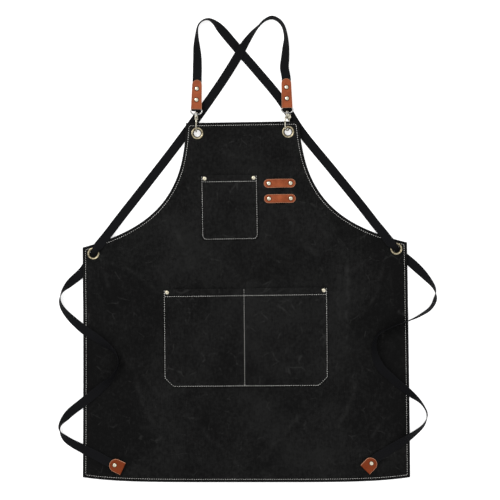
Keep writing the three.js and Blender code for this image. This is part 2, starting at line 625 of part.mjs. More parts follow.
// The origin is on the table under the middle of everything but the two straps and their tips.
const box = new THREE.Box3();
apron.updateMatrixWorld(true);
apron.traverse((piece) => {
  if (piece.isMesh && !piece.name.includes('_strap')) box.expandByObject(piece, true);
});
apron.position.set(-(box.min.x + box.max.x) / 2, -(box.min.y + box.max.y) / 2, 0);
apron.updateMatrixWorld(true);

export default apron;
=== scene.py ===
# A cross-back canvas apron laid flat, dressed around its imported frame. Shapes are worked out in
# millimetres on the apron's own pattern, and placed in the frame in metres.
import math

import bpy
import numpy as np
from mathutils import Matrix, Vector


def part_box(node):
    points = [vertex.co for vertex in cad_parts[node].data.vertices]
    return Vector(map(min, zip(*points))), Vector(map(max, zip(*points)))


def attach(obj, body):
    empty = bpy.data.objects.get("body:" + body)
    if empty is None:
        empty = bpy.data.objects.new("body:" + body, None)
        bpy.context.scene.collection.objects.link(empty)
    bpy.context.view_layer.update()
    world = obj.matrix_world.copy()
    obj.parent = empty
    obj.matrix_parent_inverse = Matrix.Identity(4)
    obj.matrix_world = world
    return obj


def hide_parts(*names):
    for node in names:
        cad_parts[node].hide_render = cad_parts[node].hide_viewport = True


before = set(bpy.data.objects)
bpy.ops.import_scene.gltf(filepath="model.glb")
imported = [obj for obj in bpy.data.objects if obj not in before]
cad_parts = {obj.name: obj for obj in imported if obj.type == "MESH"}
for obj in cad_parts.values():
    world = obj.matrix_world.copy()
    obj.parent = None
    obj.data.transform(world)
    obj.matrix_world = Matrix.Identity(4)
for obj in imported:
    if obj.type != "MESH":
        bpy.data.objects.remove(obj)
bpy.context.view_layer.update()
mm = 0.001

cut = {
    "height": 755, "skirt": 687, "waist": 680, "bib": 236, "armhole": 257, "bow": 10.5,
    "cloth": 1.1, "hem": 8, "build": 1.5, "bibLift": 9.5, "cornerLift": 3.4,
    "drift": -8.4, "skew": 0.016, "grommetInset": 95, "grommetDrop": 22,
    "cornerInset": 22.5, "cornerDrop": 13.1, "holeCut": 9.3,
}
top, bottom = cut["height"] / 2, -cut["height"] / 2
waistLine = top - cut["armhole"]
backLevel, faceLevel = cut["build"], cut["build"] + cut["cloth"]


def clamp(value):
    return np.clip(value, 0.0, 1.0)


def mix(a, b, share):
    return a + (b - a) * share


def ease(value):  # 3t² - 2t³ between 0 and 1
    t = clamp(value)
    return t * t * (3 - 2 * t)


def laid(x, y):  # where a point of the flat pattern lies: the bib drifts, the waist slopes
    share = (y - bottom) / cut["height"]
    return x + cut["drift"] * share**2, y + cut["skew"] * x * np.minimum(1, share / 0.6)


def armholeLine(count):  # one cubic curve from the bib's corner to the waist's corner
    t = np.linspace(0, 1, count)[:, None]
    a = np.array([cut["bib"] / 2, 0])
    b = np.array([cut["bib"] / 2 + 7, 0.548 * cut["armhole"]])
    c = np.array([cut["waist"] / 2 - 161, 0.842 * cut["armhole"]])
    d = np.array([cut["waist"] / 2, cut["armhole"]])
    curve = a * (1 - t) ** 3 + 3 * b * t * (1 - t) ** 2 + 3 * c * t * t * (1 - t) + d * t**3
    return np.stack([curve[:, 0], top - curve[:, 1]], 1)


armhole = armholeLine(120)


def halfWidth(level):  # half the panel's width at a level of the pattern
    skirt = mix(cut["skirt"], cut["waist"], clamp((level - bottom) / (waistLine - bottom))) / 2
    return np.where(level <= waistLine, skirt, np.interp(level, armhole[::-1, 1], armhole[::-1, 0]))


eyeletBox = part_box("bib_left_eyelet")
eyeletAt = np.array(laid(-cut["grommetInset"], top - cut["grommetDrop"]))
frameShift = np.array([(a + b) / 2 / mm for a, b in zip(*eyeletBox)][:2]) - eyeletAt
frameShift = np.array([*frameShift, 0.0])


def toFrame(points):  # pattern millimetres to frame metres
    return (np.asarray(points, float) + frameShift) * mm


holeX = cut["waist"] / 2 - cut["cornerInset"]
holeY = waistLine - cut["cornerDrop"]


def liftAt(x, y):  # how far the hooks and the ties hold the cloth off the table
    bib = cut["bibLift"] * ease((y - top + 105) / 60)
    away = np.hypot(np.abs(x) - holeX, y - holeY)
    corner = cut["cornerLift"] * np.cos(math.pi / 2 * clamp((away - 64) / 66)) ** 2
    return np.maximum(bib, corner)


def toObject(name, points, faces, body="apron"):
    mesh = bpy.data.meshes.new(name)
    mesh.from_pydata(toFrame(points), [], faces)
    mesh.polygons.foreach_set("use_smooth", np.ones(len(mesh.polygons), bool))
    mesh.update()
    made = bpy.data.objects.new(name, mesh)
    bpy.context.scene.collection.objects.link(made)
    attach(made, body)
    return made


def gridFaces(rows, columns, kept, flip=False, start=0):
    # quads of a grid of points, left out where kept is False
    at = np.arange(rows * columns).reshape(rows, columns) + start
    corners = [at[:-1, :-1], at[:-1, 1:], at[1:, 1:], at[1:, :-1]]
    quads = np.stack(corners[::-1] if flip else corners, -1).reshape(-1, 4)
    return quads[kept.reshape(-1)]


def slabFaces(rows, columns, kept=None):
    # two grids, front then back, and a wall wherever a kept cell meets none
    kept = np.ones((rows - 1, columns - 1), bool) if kept is None else kept
    count = rows * columns
    at = np.arange(count).reshape(rows, columns)
    framed = np.pad(kept, 1)
    walls = []
    for first, last, beside in (
        (at[:-1, :-1], at[:-1, 1:], framed[:-2, 1:-1]),
        (at[:-1, 1:], at[1:, 1:], framed[1:-1, 2:]),
        (at[1:, 1:], at[1:, :-1], framed[2:, 1:-1]),
        (at[1:, :-1], at[:-1, :-1], framed[1:-1, :-2]),
    ):
        bare = kept & ~beside
        a, b = first[bare], last[bare]
        walls.append(np.stack([b, a, a + count, b + count], 1))
    return np.concatenate([gridFaces(rows, columns, kept),
                           gridFaces(rows, columns, kept, True, count), *walls])


def slab(name, front, back, kept=None):
    # a front and a back grid of points as one closed piece
    rows, columns = front.shape[:2]
    points = np.concatenate([front.reshape(-1, 3), back.reshape(-1, 3)])
    return toObject(name, points, slabFaces(rows, columns, kept).tolist())


def setAttribute(piece, name, values):  # one number for each point, for the finishes
    made = piece.data.attributes.new(name, "FLOAT", "POINT")
    made.data.foreach_set("value", np.asarray(values, np.float32).ravel())


def turned(profile, sides=40):
    # a profile of radius and height spun about +Z, with its ends on the axis or joined up
    profile = np.asarray(profile, float)
    onAxis = profile[0, 0] < 1e-6
    spun = profile[1:-1] if onAxis else profile[:-1]
    turn = np.linspace(0, 2 * math.pi, sides, endpoint=False)
    rings = np.stack([np.outer(spun[:, 0], np.cos(turn)), np.outer(spun[:, 0], np.sin(turn)),
                      np.repeat(spun[:, 1:2], sides, 1)], -1)
    points = rings.reshape(-1, 3)
    at = np.arange(len(points)).reshape(len(spun), sides)
    rows = at if onAxis else np.concatenate([at, at[:1]])
    here, above = rows[:-1], rows[1:]
    quads = np.stack([here, np.roll(here, -1, 1), np.roll(above, -1, 1), above], -1).reshape(-1, 4).tolist()
    if onAxis:
        low, high = len(points), len(points) + 1
        points = np.concatenate([points, [[0, 0, profile[0, 1]], [0, 0, profile[-1, 1]]]])
        first, last = at[0], at[-1]
        quads += np.stack([np.full(sides, low), np.roll(first, -1), first], 1).tolist()
        quads += np.stack([np.full(sides, high), last, np.roll(last, -1)], 1).tolist()
    return points, quads


def swept(line, radii, sides=14):
    # a round section carried along a line without twisting, closed with flat ends
    line = np.asarray(line, float)
    ahead = np.gradient(line, axis=0)
    ahead /= np.linalg.norm(ahead, axis=1)[:, None]
    side = np.cross(ahead[0], [0.31, 0.17, 0.93])
    sidesAlong = []
    for direction in ahead:  # each side is the last one, turned square to the line
        side = side - direction * (side @ direction)
        side = side / np.linalg.norm(side)
        sidesAlong.append(side)
    across = np.array(sidesAlong)
    up = np.cross(ahead, across)
    turn = np.linspace(0, 2 * math.pi, sides, endpoint=False)
    radii = np.broadcast_to(radii, len(line))[:, None, None]
    spokes = across[:, None] * np.cos(turn)[:, None] + up[:, None] * np.sin(turn)[:, None]
    rings = line[:, None] + radii * spokes
    at = np.arange(len(line) * sides).reshape(len(line), sides)
    quads = np.stack([at[:-1], np.roll(at[:-1], -1, 1), np.roll(at[1:], -1, 1), at[1:]], -1)
    ends = [at[0][::-1].tolist(), at[-1].tolist()]
    return rings.reshape(-1, 3), quads.reshape(-1, 4).tolist() + ends


def blockOf(size, centre):
    # a plain box, to be melted into a casting
    corners = np.array([[x, y, z] for x in (-1, 1) for y in (-1, 1) for z in (-1, 1)], float)
    quads = [[0, 1, 3, 2], [4, 6, 7, 5], [0, 4, 5, 1], [2, 3, 7, 6], [0, 2, 6, 4], [1, 5, 7, 3]]
    return corners * np.array(size) / 2 + centre, quads


def together(shapes):  # several shapes as one list of points and one of faces
    points, faces, start = [], [], 0
    for somePoints, someFaces in shapes:
        points.append(somePoints)
        faces += [[corner + start for corner in face] for face in someFaces]
        start += len(somePoints)
    return np.concatenate(points), faces


def smoothLine(points, count):
    # centripetal Catmull-Rom through the points: count samples and their place along the list
    points = np.asarray(points, float)
    padded = np.concatenate([[2 * points[0] - points[1]], points, [2 * points[-1] - points[-2]]])
    place = np.linspace(0, len(points) - 1, count)
    i = np.minimum(place.astype(int), len(points) - 2)
    t = (place - i)[:, None]
    p = [padded[i + k] for k in range(4)]
    d = [np.maximum(np.linalg.norm(p[k + 1][:, :3] - p[k][:, :3], axis=1), 1e-9)[:, None] ** 0.5
         for k in range(3)]
    m1 = ((p[1] - p[0]) / d[0] - (p[2] - p[0]) / (d[0] + d[1]) + (p[2] - p[1]) / d[1]) * d[1]
    m2 = ((p[2] - p[1]) / d[1] - (p[3] - p[1]) / (d[1] + d[2]) + (p[3] - p[2]) / d[2]) * d[1]
    a = 2 * p[1] - 2 * p[2] + m1 + m2
    b = -3 * p[1] + 3 * p[2] - 2 * m1 - m2
    return a * t**3 + b * t**2 + m1 * t + p[1], place


def turnAbout(axis, degrees):  # a turn about one axis, as a matrix
    angle = math.radians(degrees)
    c, s = math.cos(angle), math.sin(angle)
    return np.array({"x": [[1, 0, 0], [0, c, -s], [0, s, c]], "y": [[c, 0, s], [0, 1, 0], [-s, 0, c]],
                     "z": [[c, -s, 0], [s, c, 0], [0, 0, 1]]}[axis])


view = {"x": 7.43, "y": 64.15, "across": 1050, "lens": 110, "sensor": 36}


def addCamera():
    data = bpy.data.cameras.new("camera")
    data.lens, data.sensor_width = view["lens"], view["sensor"]
    camera = bpy.data.objects.new("camera", data)
    height = view["across"] * view["lens"] / view["sensor"]  # the width fills the sensor
    camera.location = (view["x"] * mm, view["y"] * mm, height * mm)
    bpy.context.scene.collection.objects.link(camera)
    bpy.context.scene.camera = camera


def addLight(name, place, size, power):  # a square light that faces the middle of the apron
    data = bpy.data.lights.new(name, "AREA")
    data.energy, data.size = power, size
    light = bpy.data.objects.new(name, data)
    light.location = place
    light.rotation_euler = light.location.to_track_quat("Z", "Y").to_euler()
    bpy.context.scene.collection.objects.link(light)


def addStudio():
    world = bpy.data.worlds.new("studio")
    bpy.context.scene.world = world
    world.use_nodes = True
    nodes, links = world.node_tree.nodes, world.node_tree.links
    place, axes, rise = [nodes.new("ShaderNode" + kind) for kind in ("TexCoord", "SeparateXYZ", "MapRange")]
    rise.interpolation_type = "SMOOTHSTEP"
    for socket, value in zip(rise.inputs[1:5], (-0.1, 0.85, 0.16, 1.0)):
        socket.default_value = value
    links.new(place.outputs["Generated"], axes.inputs[0])
    links.new(axes.outputs["Z"], rise.inputs[0])
    nodes["Background"].inputs["Color"].default_value = (1, 1, 1, 1)
    links.new(rise.outputs[0], nodes["Background"].inputs["Strength"])
    addLight("window", (-1.3, 1.3, 2.0), 1.0, 30)
    addLight("fill", (1.9, -1.2, 1.9), 2.2, 10)
    bpy.context.scene.view_settings.view_transform = "Standard"
    mesh = bpy.data.meshes.new("floor")
    far, level = 6.0, -0.0004
    corners = [(x * far, y * far, level) for x, y in ((-1, -1), (1, -1), (1, 1), (-1, 1))]
    mesh.from_pydata(corners, [], [(0, 1, 2, 3)])
    floor = bpy.data.objects.new("floor", mesh)
    bpy.context.scene.collection.objects.link(floor)
    return floor


addCamera()
floor = addStudio()
print("camera, light and floor")


class Value:
    # a socket that Python's own signs work on
    def __init__(self, maker, socket):
        self.maker, self.socket = maker, socket

    def math(self, operation, *others):
        return self.maker.node("Math", {"operation": operation}, self, *others)

    def __add__(self, other):
        return self.math("ADD", other)

    def __sub__(self, other):
        return self.math("SUBTRACT", other)

    def __rsub__(self, other):
        return self.maker.node("Math", {"operation": "SUBTRACT"}, other, self)

    def __mul__(self, other):
        return self.math("MULTIPLY", other)

    __radd__, __rmul__ = __add__, __mul__

    def step(self, low, high):  # 0 below low and 1 above high, eased between
        return self.maker.node("MapRange", {"interpolation_type": "SMOOTHSTEP"}, self, low, high, 0.0, 1.0)

    def wave(self, pitch):  # a sine from 0 to 1 that repeats every pitch
        return (self * (2 * math.pi / pitch)).math("SINE") * 0.5 + 0.5


class Finish:
    # one material and the nodes it is made of
    def __init__(self, name, slot, **uniform):
        self.material = bpy.data.materials.new(name)
        self.material.use_nodes = True
        self.tree = self.material.node_tree
        self.slot = slot
        self.shader = self.tree.nodes["Principled BSDF"]
        for socket, value in uniform.items():
            self.shader.inputs[socket.replace("_", " ")].default_value = value

    def node(self, kind, settings, *links, out=0, **named):
        made = self.tree.nodes.new("ShaderNode" + kind)
        for key, value in settings.items():
            if key == "stops":
                self.setStops(made.color_ramp, value)
            else:
                setattr(made, key, value)
        sockets = [s for s in made.inputs if s.enabled]
        for socket, value in [*zip(sockets, links), *((made.inputs[k], v) for k, v in named.items())]:
            self.fill(socket, value)
        found = made.outputs[out] if isinstance(out, str) else [s for s in made.outputs if s.enabled][out]
        return Value(self, found)

    def fill(self, socket, value):
        if isinstance(value, Value):
            self.tree.links.new(value.socket, socket)
        else:
            socket.default_value = (*value, 1) if socket.type == "RGBA" else value

    def setStops(self, ramp, stops):
        while len(ramp.elements) < len(stops):
            ramp.elements.new(0.5)
        for element, (place, colour) in zip(ramp.elements, stops):
            element.position, element.color = place, (*colour, 1)

    def place(self, source="Object"):
        return self.node("TexCoord", {}, out=source)

    def axes(self, vector):
        return [self.node("SeparateXYZ", {}, vector, out=axis) for axis in "XYZ"]

    def attribute(self, name):
        return self.node("Attribute", {"attribute_name": name}, out="Fac")

    def noise(self, vector, scale, detail=3.0, roughness=0.5):
        return self.node("TexNoise", {}, Vector=vector, Scale=scale, Detail=detail, Roughness=roughness,
                         out="Fac")

    def blend(self, factor, a, b):  # from colour a to colour b
        return self.node("Mix", {"data_type": "RGBA", "clamp_factor": True}, factor, a, b)

    def finish(self, colour, roughness, height, depth):
        bump = self.node("Bump", {}, Strength=1.0, Distance=depth, Height=height)
        for name, value in (("Base Color", colour), ("Roughness", roughness), ("Normal", bump)):
            self.fill(self.shader.inputs[name], value)
        return self

    def on(self, piece):
        piece.data.materials.clear()
        piece.data.materials.append(self.material)
        return piece


def canvasFinish():
    # plain weave of 0.8 mm threads, cloudy wax, pale hairline scuffs, and painted shade towards the sides
    made = Finish("waxed_canvas", "canvas", Specular_IOR_Level=0.1)
    place = made.place()
    x, y, _ = made.axes(place)
    pitch = 0.8 * mm
    warp, weft = x.wave(2 * pitch), y.wave(2 * pitch)
    checks = warp * weft + (1 - warp) * (1 - weft)
    cloud = made.noise(place, 7, 5, 0.62)
    slub = made.noise(place, 900, 2)
    grain = made.noise(place, 160, 3, 0.6)
    bent = made.node("VectorMath", {"operation": "ADD"}, place,
                     made.node("VectorMath", {"operation": "SCALE"},
                               made.node("TexNoise", {}, Vector=place, Scale=5.0, Detail=3.0, out="Color"),
                               Scale=0.16))
    cracks = made.node("TexVoronoi", {"feature": "DISTANCE_TO_EDGE"}, Vector=bent, Scale=26.0, out="Distance")
    sparse = (made.noise(place, 34, 4, 0.7) + made.attribute("rubbed") * 0.035).step(0.53, 0.66)
    scuff = (1 - cracks.step(0.0, 0.045)) * sparse
    crease = made.attribute("crease")
    seam = made.attribute("seam")
    wear = scuff * 0.3 + crease * made.noise(place, 60, 4).step(0.35, 0.75) * 0.35
    streak = made.noise(made.node("Mapping", {}, place, Scale=(520, 60, 60)), 1, 3, 0.6)
    sides = x.math("ABSOLUTE").step(0.12, 0.36)  # painted shade: darker towards the sides, where the light falls off
    shade = cloud * 0.4 + grain * 0.3 + slub * 0.12 + streak * 0.18 - sides * 0.085
    base = made.blend(shade.step(0.39, 0.61), (0.0013, 0.0013, 0.0013), (0.0087, 0.0088, 0.0086))
    worn = made.blend(wear, base, (0.036, 0.036, 0.035))
    pressed = made.blend(seam * 0.6, worn, (0.002, 0.002, 0.0021))
    height = checks * 0.16 + slub * 0.14 + grain * 0.3 - scuff * 0.12
    return made.finish(pressed, 0.86 - cloud * 0.16 - crease * 0.06, height, 0.42 * mm)


def webbingFinish():
    # lengthwise ribs with painted shade in the grooves between them, a short slanted filling stitch between
    # them, and rubbed selvedges
    made = Finish("ribbed_webbing", "webbing", Specular_IOR_Level=0.12)
    u, v, _ = made.axes(made.place("UV"))
    ribs = (u * (2 * math.pi * strapShape["ribs"])).math("COSINE") * 0.5 + 0.5
    slant = (v + u * 0.0105).wave(0.9 * mm)
    fuzz = made.noise(made.place(), 1300, 2)
    fade = made.noise(made.place(), 22, 3)
    edge = (u - 0.5).math("ABSOLUTE").step(0.455, 0.492)
    # painted shade: the grooves between the ribs are darker, the crests lighter
    base = made.blend(ribs * 0.55 + fade * 0.5, (0.0007, 0.0008, 0.0012), (0.0038, 0.0039, 0.0051))
    rubbed = made.blend(edge * 0.85, base, (0.0075, 0.0076, 0.0088))
    height = ribs * 0.5 + slant * 0.28 * (0.4 + ribs * 0.6) + fuzz * 0.2
    return made.finish(rubbed, 0.72 + fuzz * 0.12, height, 0.3 * mm)


def leatherFinish():
    # tan with cloudy dye, close pores, fine wrinkles, burnished edges, a painted shadow ring round each
    # rivet, and a pale raw edge that is partly painted highlight
    made = Finish("tan_leather", "leather", Specular_IOR_Level=0.1)
    place = made.place()
    cloud = made.noise(place, 55, 4, 0.6)
    fine = made.noise(place, 420, 4, 0.65)
    pores = made.node("TexVoronoi", {"feature": "F1"}, Vector=place, Scale=1500.0, out="Distance")
    wrinkles = made.node("TexVoronoi", {"feature": "DISTANCE_TO_EDGE"},
                         Vector=place, Scale=620.0, out="Distance").step(0.0, 0.09)
    edge = made.attribute("edge")
    burnt = (1 - edge.step(1.2, 2.4)) * 0.6
    base = made.blend(cloud.step(0.3, 0.7) * 0.7 + fine * 0.3, (0.207, 0.046, 0.0165), (0.347, 0.087, 0.031))
    # darker where marked: an even tone on the strap tips, and a painted shadow ring round each rivet cap
    agedAndRivetShadow = made.blend(made.attribute("age"), base, (0.142, 0.019, 0.0012))
    pressed = made.blend(burnt, agedAndRivetShadow, (0.13, 0.026, 0.009))
    # the pale raw cut edge, partly a painted highlight along the edge
    paleEdgeAndHighlight = made.blend((1 - edge.step(0.5, 0.95)) * 0.8, pressed, (0.56, 0.27, 0.16))
    height = wrinkles * 0.5 - pores * 0.25 + fine * 0.4
    return made.finish(paleEdgeAndHighlight, 0.5 + fine * 0.2 - burnt * 0.08, height, 0.16 * mm)


def metalFinish(name, slot, dark, bright, rough, scratch=0.5):
    # dark in the clouds of its old lacquer and bright where it is rubbed, and darker where marked: patina in
    # its hollows and painted shade on slopes turned from the light
    made = Finish(name, slot, Metallic=1.0)
    place = made.place()
    cloud = made.noise(place, 260, 4, 0.62)
    fine = made.noise(place, 2600, 3, 0.6)
    mask = cloud.step(0.32, 0.66)
    # painted shade with patina: darker on the marked slopes and hollows
    recess = made.attribute("recess")
    colour = made.blend(recess, made.blend(mask, dark, bright), tuple(0.3 * part for part in dark))
    height = fine * scratch + cloud * 0.5
    return made.finish(colour, rough + 0.16 - mask * 0.16 + fine * 0.08, height, 0.05 * mm)


def threadFinish():
    # two twisted plies of cream thread with a little dirt
    made = Finish("cream_thread", "canvas", Specular_IOR_Level=0.2)
    place = made.place()
    x, y, _ = made.axes(place)
    ply = (x + y * 1.6).wave(0.62 * mm)
    dirt = made.noise(place, 48, 4, 0.6)
    base = made.blend(dirt.step(0.3, 0.72), (0.5, 0.49, 0.465), (0.86, 0.85, 0.815))
    return made.finish(base, 0.78 + dirt * 0.1, ply, 0.12 * mm)


strapShape = {"width": 19, "thick": 1.3, "ribs": 9, "rib": 0.16, "step": 3.2, "points": 33}
canvas = canvasFinish()
webbing = webbingFinish()
leather = leatherFinish()
antique = metalFinish("antique_brass", "antique_brass", (0.17, 0.14, 0.085), (0.5, 0.44, 0.3), 0.27)
paleBrass = metalFinish("rivet_brass", "rivet_brass", (0.46, 0.41, 0.29), (0.86, 0.82, 0.68), 0.2, 0.3)
# a brighter copy of the antique brass for the hooks: partly their paler metal, partly painted highlight
hookBrassWithHighlight = metalFinish("hook_brass_painted_highlight", "antique_brass", (0.23, 0.205, 0.145), (0.74, 0.71, 0.59), 0.2, 0.35)
nickel = metalFinish("satin_nickel", "nickel", (0.2, 0.2, 0.195), (0.5, 0.495, 0.475), 0.22, 0.35)
thread = threadFinish()


def floorFinish():
    made = bpy.data.materials.new("pale_floor")
    made.use_nodes = True
    shader = made.node_tree.nodes["Principled BSDF"]
    shader.inputs["Base Color"].default_value = (0.75, 0.75, 0.75, 1)
    shader.inputs["Emission Color"].default_value = (1, 1, 1, 1)
    shader.inputs["Emission Strength"].default_value = 0.6
    shader.inputs["Roughness"].default_value = 0.9
    shader.inputs["Specular IOR Level"].default_value = 0.1
    return made


floor.data.materials.append(floorFinish())
print("finishes")

# The hooks' tabs, which the straps start from.
leatherThick = 1.4
tabShape = {"low": 0.8, "high": 63.2, "widthLow": 22.5, "widthHigh": 20.5, "rivets": (21, 44.6),
            "pitch": -4, "thick": leatherThick, "above": 49,
            "turn": {"left": -1.5, "right": 2}, "beside": {"left": -2.2, "right": -1.8}}
gap = 0.3
wireRadius = 1.5
hookHeight = backLevel + cut["bibLift"] + cut["cloth"] / 2


def hookPlace(side):  # the middle of the bow's bar, above its grommet and a little beside it
    x, y = laid((-1 if side == "left" else 1) * cut["grommetInset"], top - cut["grommetDrop"])
    return np.array([x + tabShape["beside"][side], y + tabShape["above"], hookHeight])


def tabFrame(side):  # the tab's place and its turn about X, then about Z
    return hookPlace(side), turnAbout("z", tabShape["turn"][side]) @ turnAbout("x", tabShape["pitch"])


def onTab(side, points):  # from the tab's own axes to the pattern
    place, turn = tabFrame(side)
    return np.asarray(points, float) @ turn.T + place


runBack = -(wireRadius + gap + strapShape["thick"] / 2)
runFront = runBack + strapShape["thick"] + gap
rampOut = 16
tabFrontLow = runFront + strapShape["thick"] / 2 + gap
tabBackLow = runBack - strapShape["thick"] / 2 - gap - tabShape["thick"]


def climb(y):  # the front run's way up and over the bow's bar
    return (-runBack - runFront) * 0.5 * (1 + np.cos(math.pi * clamp(y / rampOut)))


# Each stop of a strap: x, y, height of its middle, lean in degrees, and its width where it is gathered.
leftRoute = [
    [-103, 492, 5.6, 8], [-103, 512, 6.6, 22], [-104, 534, 8.4, 42], [-104, 560, 9.6, 72],
    [-101, 580, 10, 88], [-92, 590, 10, 90], [-80, 593, 9.9, 84], [-67, 586.5, 9.1, 64],
    [-54, 573.5, 6, 30], [-37, 554, 1.9, 4], [-14, 527, 1, 0], [20, 488, 0.85, 0], [72, 425, 0.85, 0],
    [112, 362, 0.85, 0], [180, 278, 0.85, 0], [240, 204, 1.3, 0], [270, 165, 4.4, 0], [287, 144, 8, 0],
    [302.5, 124.5, 8.8, 0, 18.9], [310.6, 116, 8.2, 0, 13.8], [314.1, 112.5, 5.2, 0, 13.2],
    [317.6, 109, 2.2, 0, 13.2], [325, 101.6, 1, 0, 16], [345, 84, 1.3, 0], [377, 52, 8, 45],
    [394, 28, 10, 80], [395, 7, 9, 121], [386, -11, 9.4, 119], [364, -26.5, 11.6, 111],
    [341, -37.5, 12.6, 100], [303, -52, 12.6, 90], [276, -67, 12.6, 88], [267, -90, 12, 66],
    [277, -130, 8.7, 28], [308, -162, 9, 30], [341, -189, 10.4, 40], [367, -212, 10.4, 78],
    [378, -234, 10, 90], [372, -255, 10, 112], [341, -282, 9.6, 142], [301, -308, 5.2, 172],
]
rightRoute = [
    [79.5, 492, 5.6, -8], [81, 512, 7, -25], [82.3, 534, 8.4, -42], [82.4, 557, 9.4, -66],
    [76.5, 579.5, 9.8, -72], [67.5, 590.5, 9.8, -73], [54, 596.5, 9.8, -74], [39, 591.5, 9.8, -80],
    [25, 578, 10.4, -82], [12, 563, 10.6, -62], [-3, 542, 8.6, -38], [-20, 513, 4.3, -10],
    [-45, 473, 1.2, 0], [-91, 406, 0.85, 0], [-148, 328, 0.85, 0], [-226, 227, 0.85, 0],
    [-262, 181, 1.6, 0], [-292, 141, 7.6, 0], [-311, 117.5, 8.8, 0, 18.9], [-318.2, 106.5, 8.2, 0, 13.8],
    [-321, 102.3, 5.2, 0, 13.2], [-323.7, 98.1, 2.2, 0, 13.2], [-329.5, 88.5, 1.1, 0, 16],
    [-344.5, 64, 1.35, 0], [-370.5, 40, 7.1, -38], [-386, 22, 10, -83], [-390.5, 4, 9.9, -108],
    [-382.5, -16, 9, -130], [-341, -57, 6.2, -168], [-306, -80, 9.1, -148], [-276, -104, 12.3, -112],
    [-268, -127, 12.7, -92], [-279, -154, 12.1, -64], [-308, -182, 7.9, -22], [-342, -209, 5.6, -6],
    [-375, -236.5, 6.6, -30], [-391.5, -262, 10.4, -84], [-379, -285, 7.2, -144],
    [-342, -307.5, 4.6, -174], [-314, -321.5, 5.2, -178],
]
tipShape = {"long": 28, "width": 27, "rivet": 11, "thick": leatherThick, "disc": 1.1}
tipLow = 2 * gap + tipShape["disc"]
tipWebbing = tipLow + tipShape["thick"] + gap
tipHigh = tipWebbing + strapShape["thick"] + gap
tipPlaces = {"left": ([261.8, -337, faceLevel], -134), "right": ([-276.2, -340.8, faceLevel], -25)}


def onTip(side, points):  # from the tip's own axes to the pattern
    place, turn = tipPlaces[side]
    return np.asarray(points, float) @ turnAbout("z", turn).T + np.array(place)


def strapStops(side, route):
    # every stop of a strap as its place, the direction across it and its width
    fold = [[52, runBack], [8, runBack], [0, runBack], [0.7 * runBack, 0.7 * runBack], [runBack, 0],
            [0.7 * runBack, -0.7 * runBack], [0, -runBack], [8, runFront + climb(8)], [rampOut, runFront],
            [34, runFront], [tabShape["high"] + 3, runFront]]
    foldAt = onTab(side, [[0, y, z] for y, z in fold])
    foldAcross = np.repeat([tabFrame(side)[1] @ [-1, 0, 0]], len(fold), 0)
    free = np.array([stop[:3] for stop in route], float)
    ends = np.pad(free, ((1, 1), (0, 0)), "edge")
    ahead = ends[2:] - ends[:-2]
    leftward = np.stack([-ahead[:, 1], ahead[:, 0], 0 * ahead[:, 0]], 1)
    leftward /= np.linalg.norm(leftward, axis=1)[:, None]
    lean = np.radians([stop[3] for stop in route])[:, None]
    freeAcross = leftward * np.cos(lean) + np.array([0, 0, 1]) * np.sin(lean)
    tipAt = onTip(side, [[x, 0, tipWebbing + strapShape["thick"] / 2] for x in (-15, 15)])
    tipAcross = np.repeat([turnAbout("z", tipPlaces[side][1]) @ [0, -1, 0]], 2, 0)
    widths = [strapShape["width"]] * len(fold) + [([*stop, strapShape["width"]])[4] for stop in route]
    places = np.concatenate([foldAt, free, tipAt])
    acrosses = np.concatenate([foldAcross, freeAcross, tipAcross])
    return places, acrosses, np.array(widths + [strapShape["width"]] * 2, float)


curlTable = np.linspace(1e-3, 2.2, 200)


def addStrap(side, route):
    # a ribbed band along the route, curled into a gutter where the grommet gathers it
    places, acrosses, widths = strapStops(side, route)
    rough, place = smoothLine(np.concatenate([places, acrosses, widths[:, None]], 1), 24 * len(places))
    along = np.concatenate([[0], np.cumsum(np.linalg.norm(np.diff(rough[:, :3], axis=0), axis=1))])
    count = int(along[-1] / strapShape["step"])
    at = np.linspace(0, along[-1], count)
    rows = np.stack([np.interp(at, along, rough[:, k]) for k in range(7)], 1)
    middle, width = rows[:, :3], np.clip(rows[:, 6], 9, strapShape["width"])
    ahead = np.gradient(middle, axis=0)
    ahead /= np.linalg.norm(ahead, axis=1)[:, None]
    across = rows[:, 3:6] - ahead * (rows[:, 3:6] * ahead).sum(1)[:, None]
    across /= np.linalg.norm(across, axis=1)[:, None]
    face = np.cross(ahead, across)
    half = np.interp(-width / strapShape["width"], -np.sinc(curlTable / math.pi), curlTable)[:, None]
    radius = strapShape["width"] / (2 * half)
    steep = np.abs(ahead[:, 2:])
    seat = radius * mix(np.cos(half), np.sin(half) / half, ease(steep * 1.4))
    under = ease((4.8 - middle[:, 2:]) / 2.2) * (width < 18.9)[:, None]
    curl = 1 - 0.88 * under  # below the cloth the gathered band is pressed flat
    u = np.linspace(-1, 1, strapShape["points"])
    ribs = strapShape["rib"] * 0.5 * (1 + np.cos(math.pi * strapShape["ribs"] * (u + 1)))
    thick = strapShape["thick"] / 2 * np.sqrt(clamp(1 - np.abs(u) ** 14)) * 0.94 + 0.03
    layers = []
    for sign in (1, -1):
        out = radius + sign * (thick - strapShape["rib"] * 0.5 + ribs * (np.abs(u) < 0.97))
        swing = half * u
        sideways, forward = out * np.sin(swing), (out * np.cos(swing) - seat) * curl
        layers.append(middle[:, None] + across[:, None] * sideways[..., None]
                      + face[:, None] * forward[..., None])
    strap = slab(f"{side}_webbing", layers[0][:, ::-1], layers[1][:, ::-1])
    uv = strap.data.uv_layers.new(name="UVMap")
    corner = np.zeros(len(strap.data.loops), int)
    strap.data.loops.foreach_get("vertex_index", corner)
    uAt = np.tile(np.broadcast_to((u[::-1] + 1) / 2, (count, len(u))).ravel(), 2)
    vAt = np.tile(np.repeat(at * mm, len(u)), 2)
    uv.data.foreach_set("uv", np.stack([uAt[corner], vAt[corner]], 1).astype(np.float32).ravel())
    webbing.on(strap)
    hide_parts(f"{side}_strap")
    return strap, middle, along[-1]


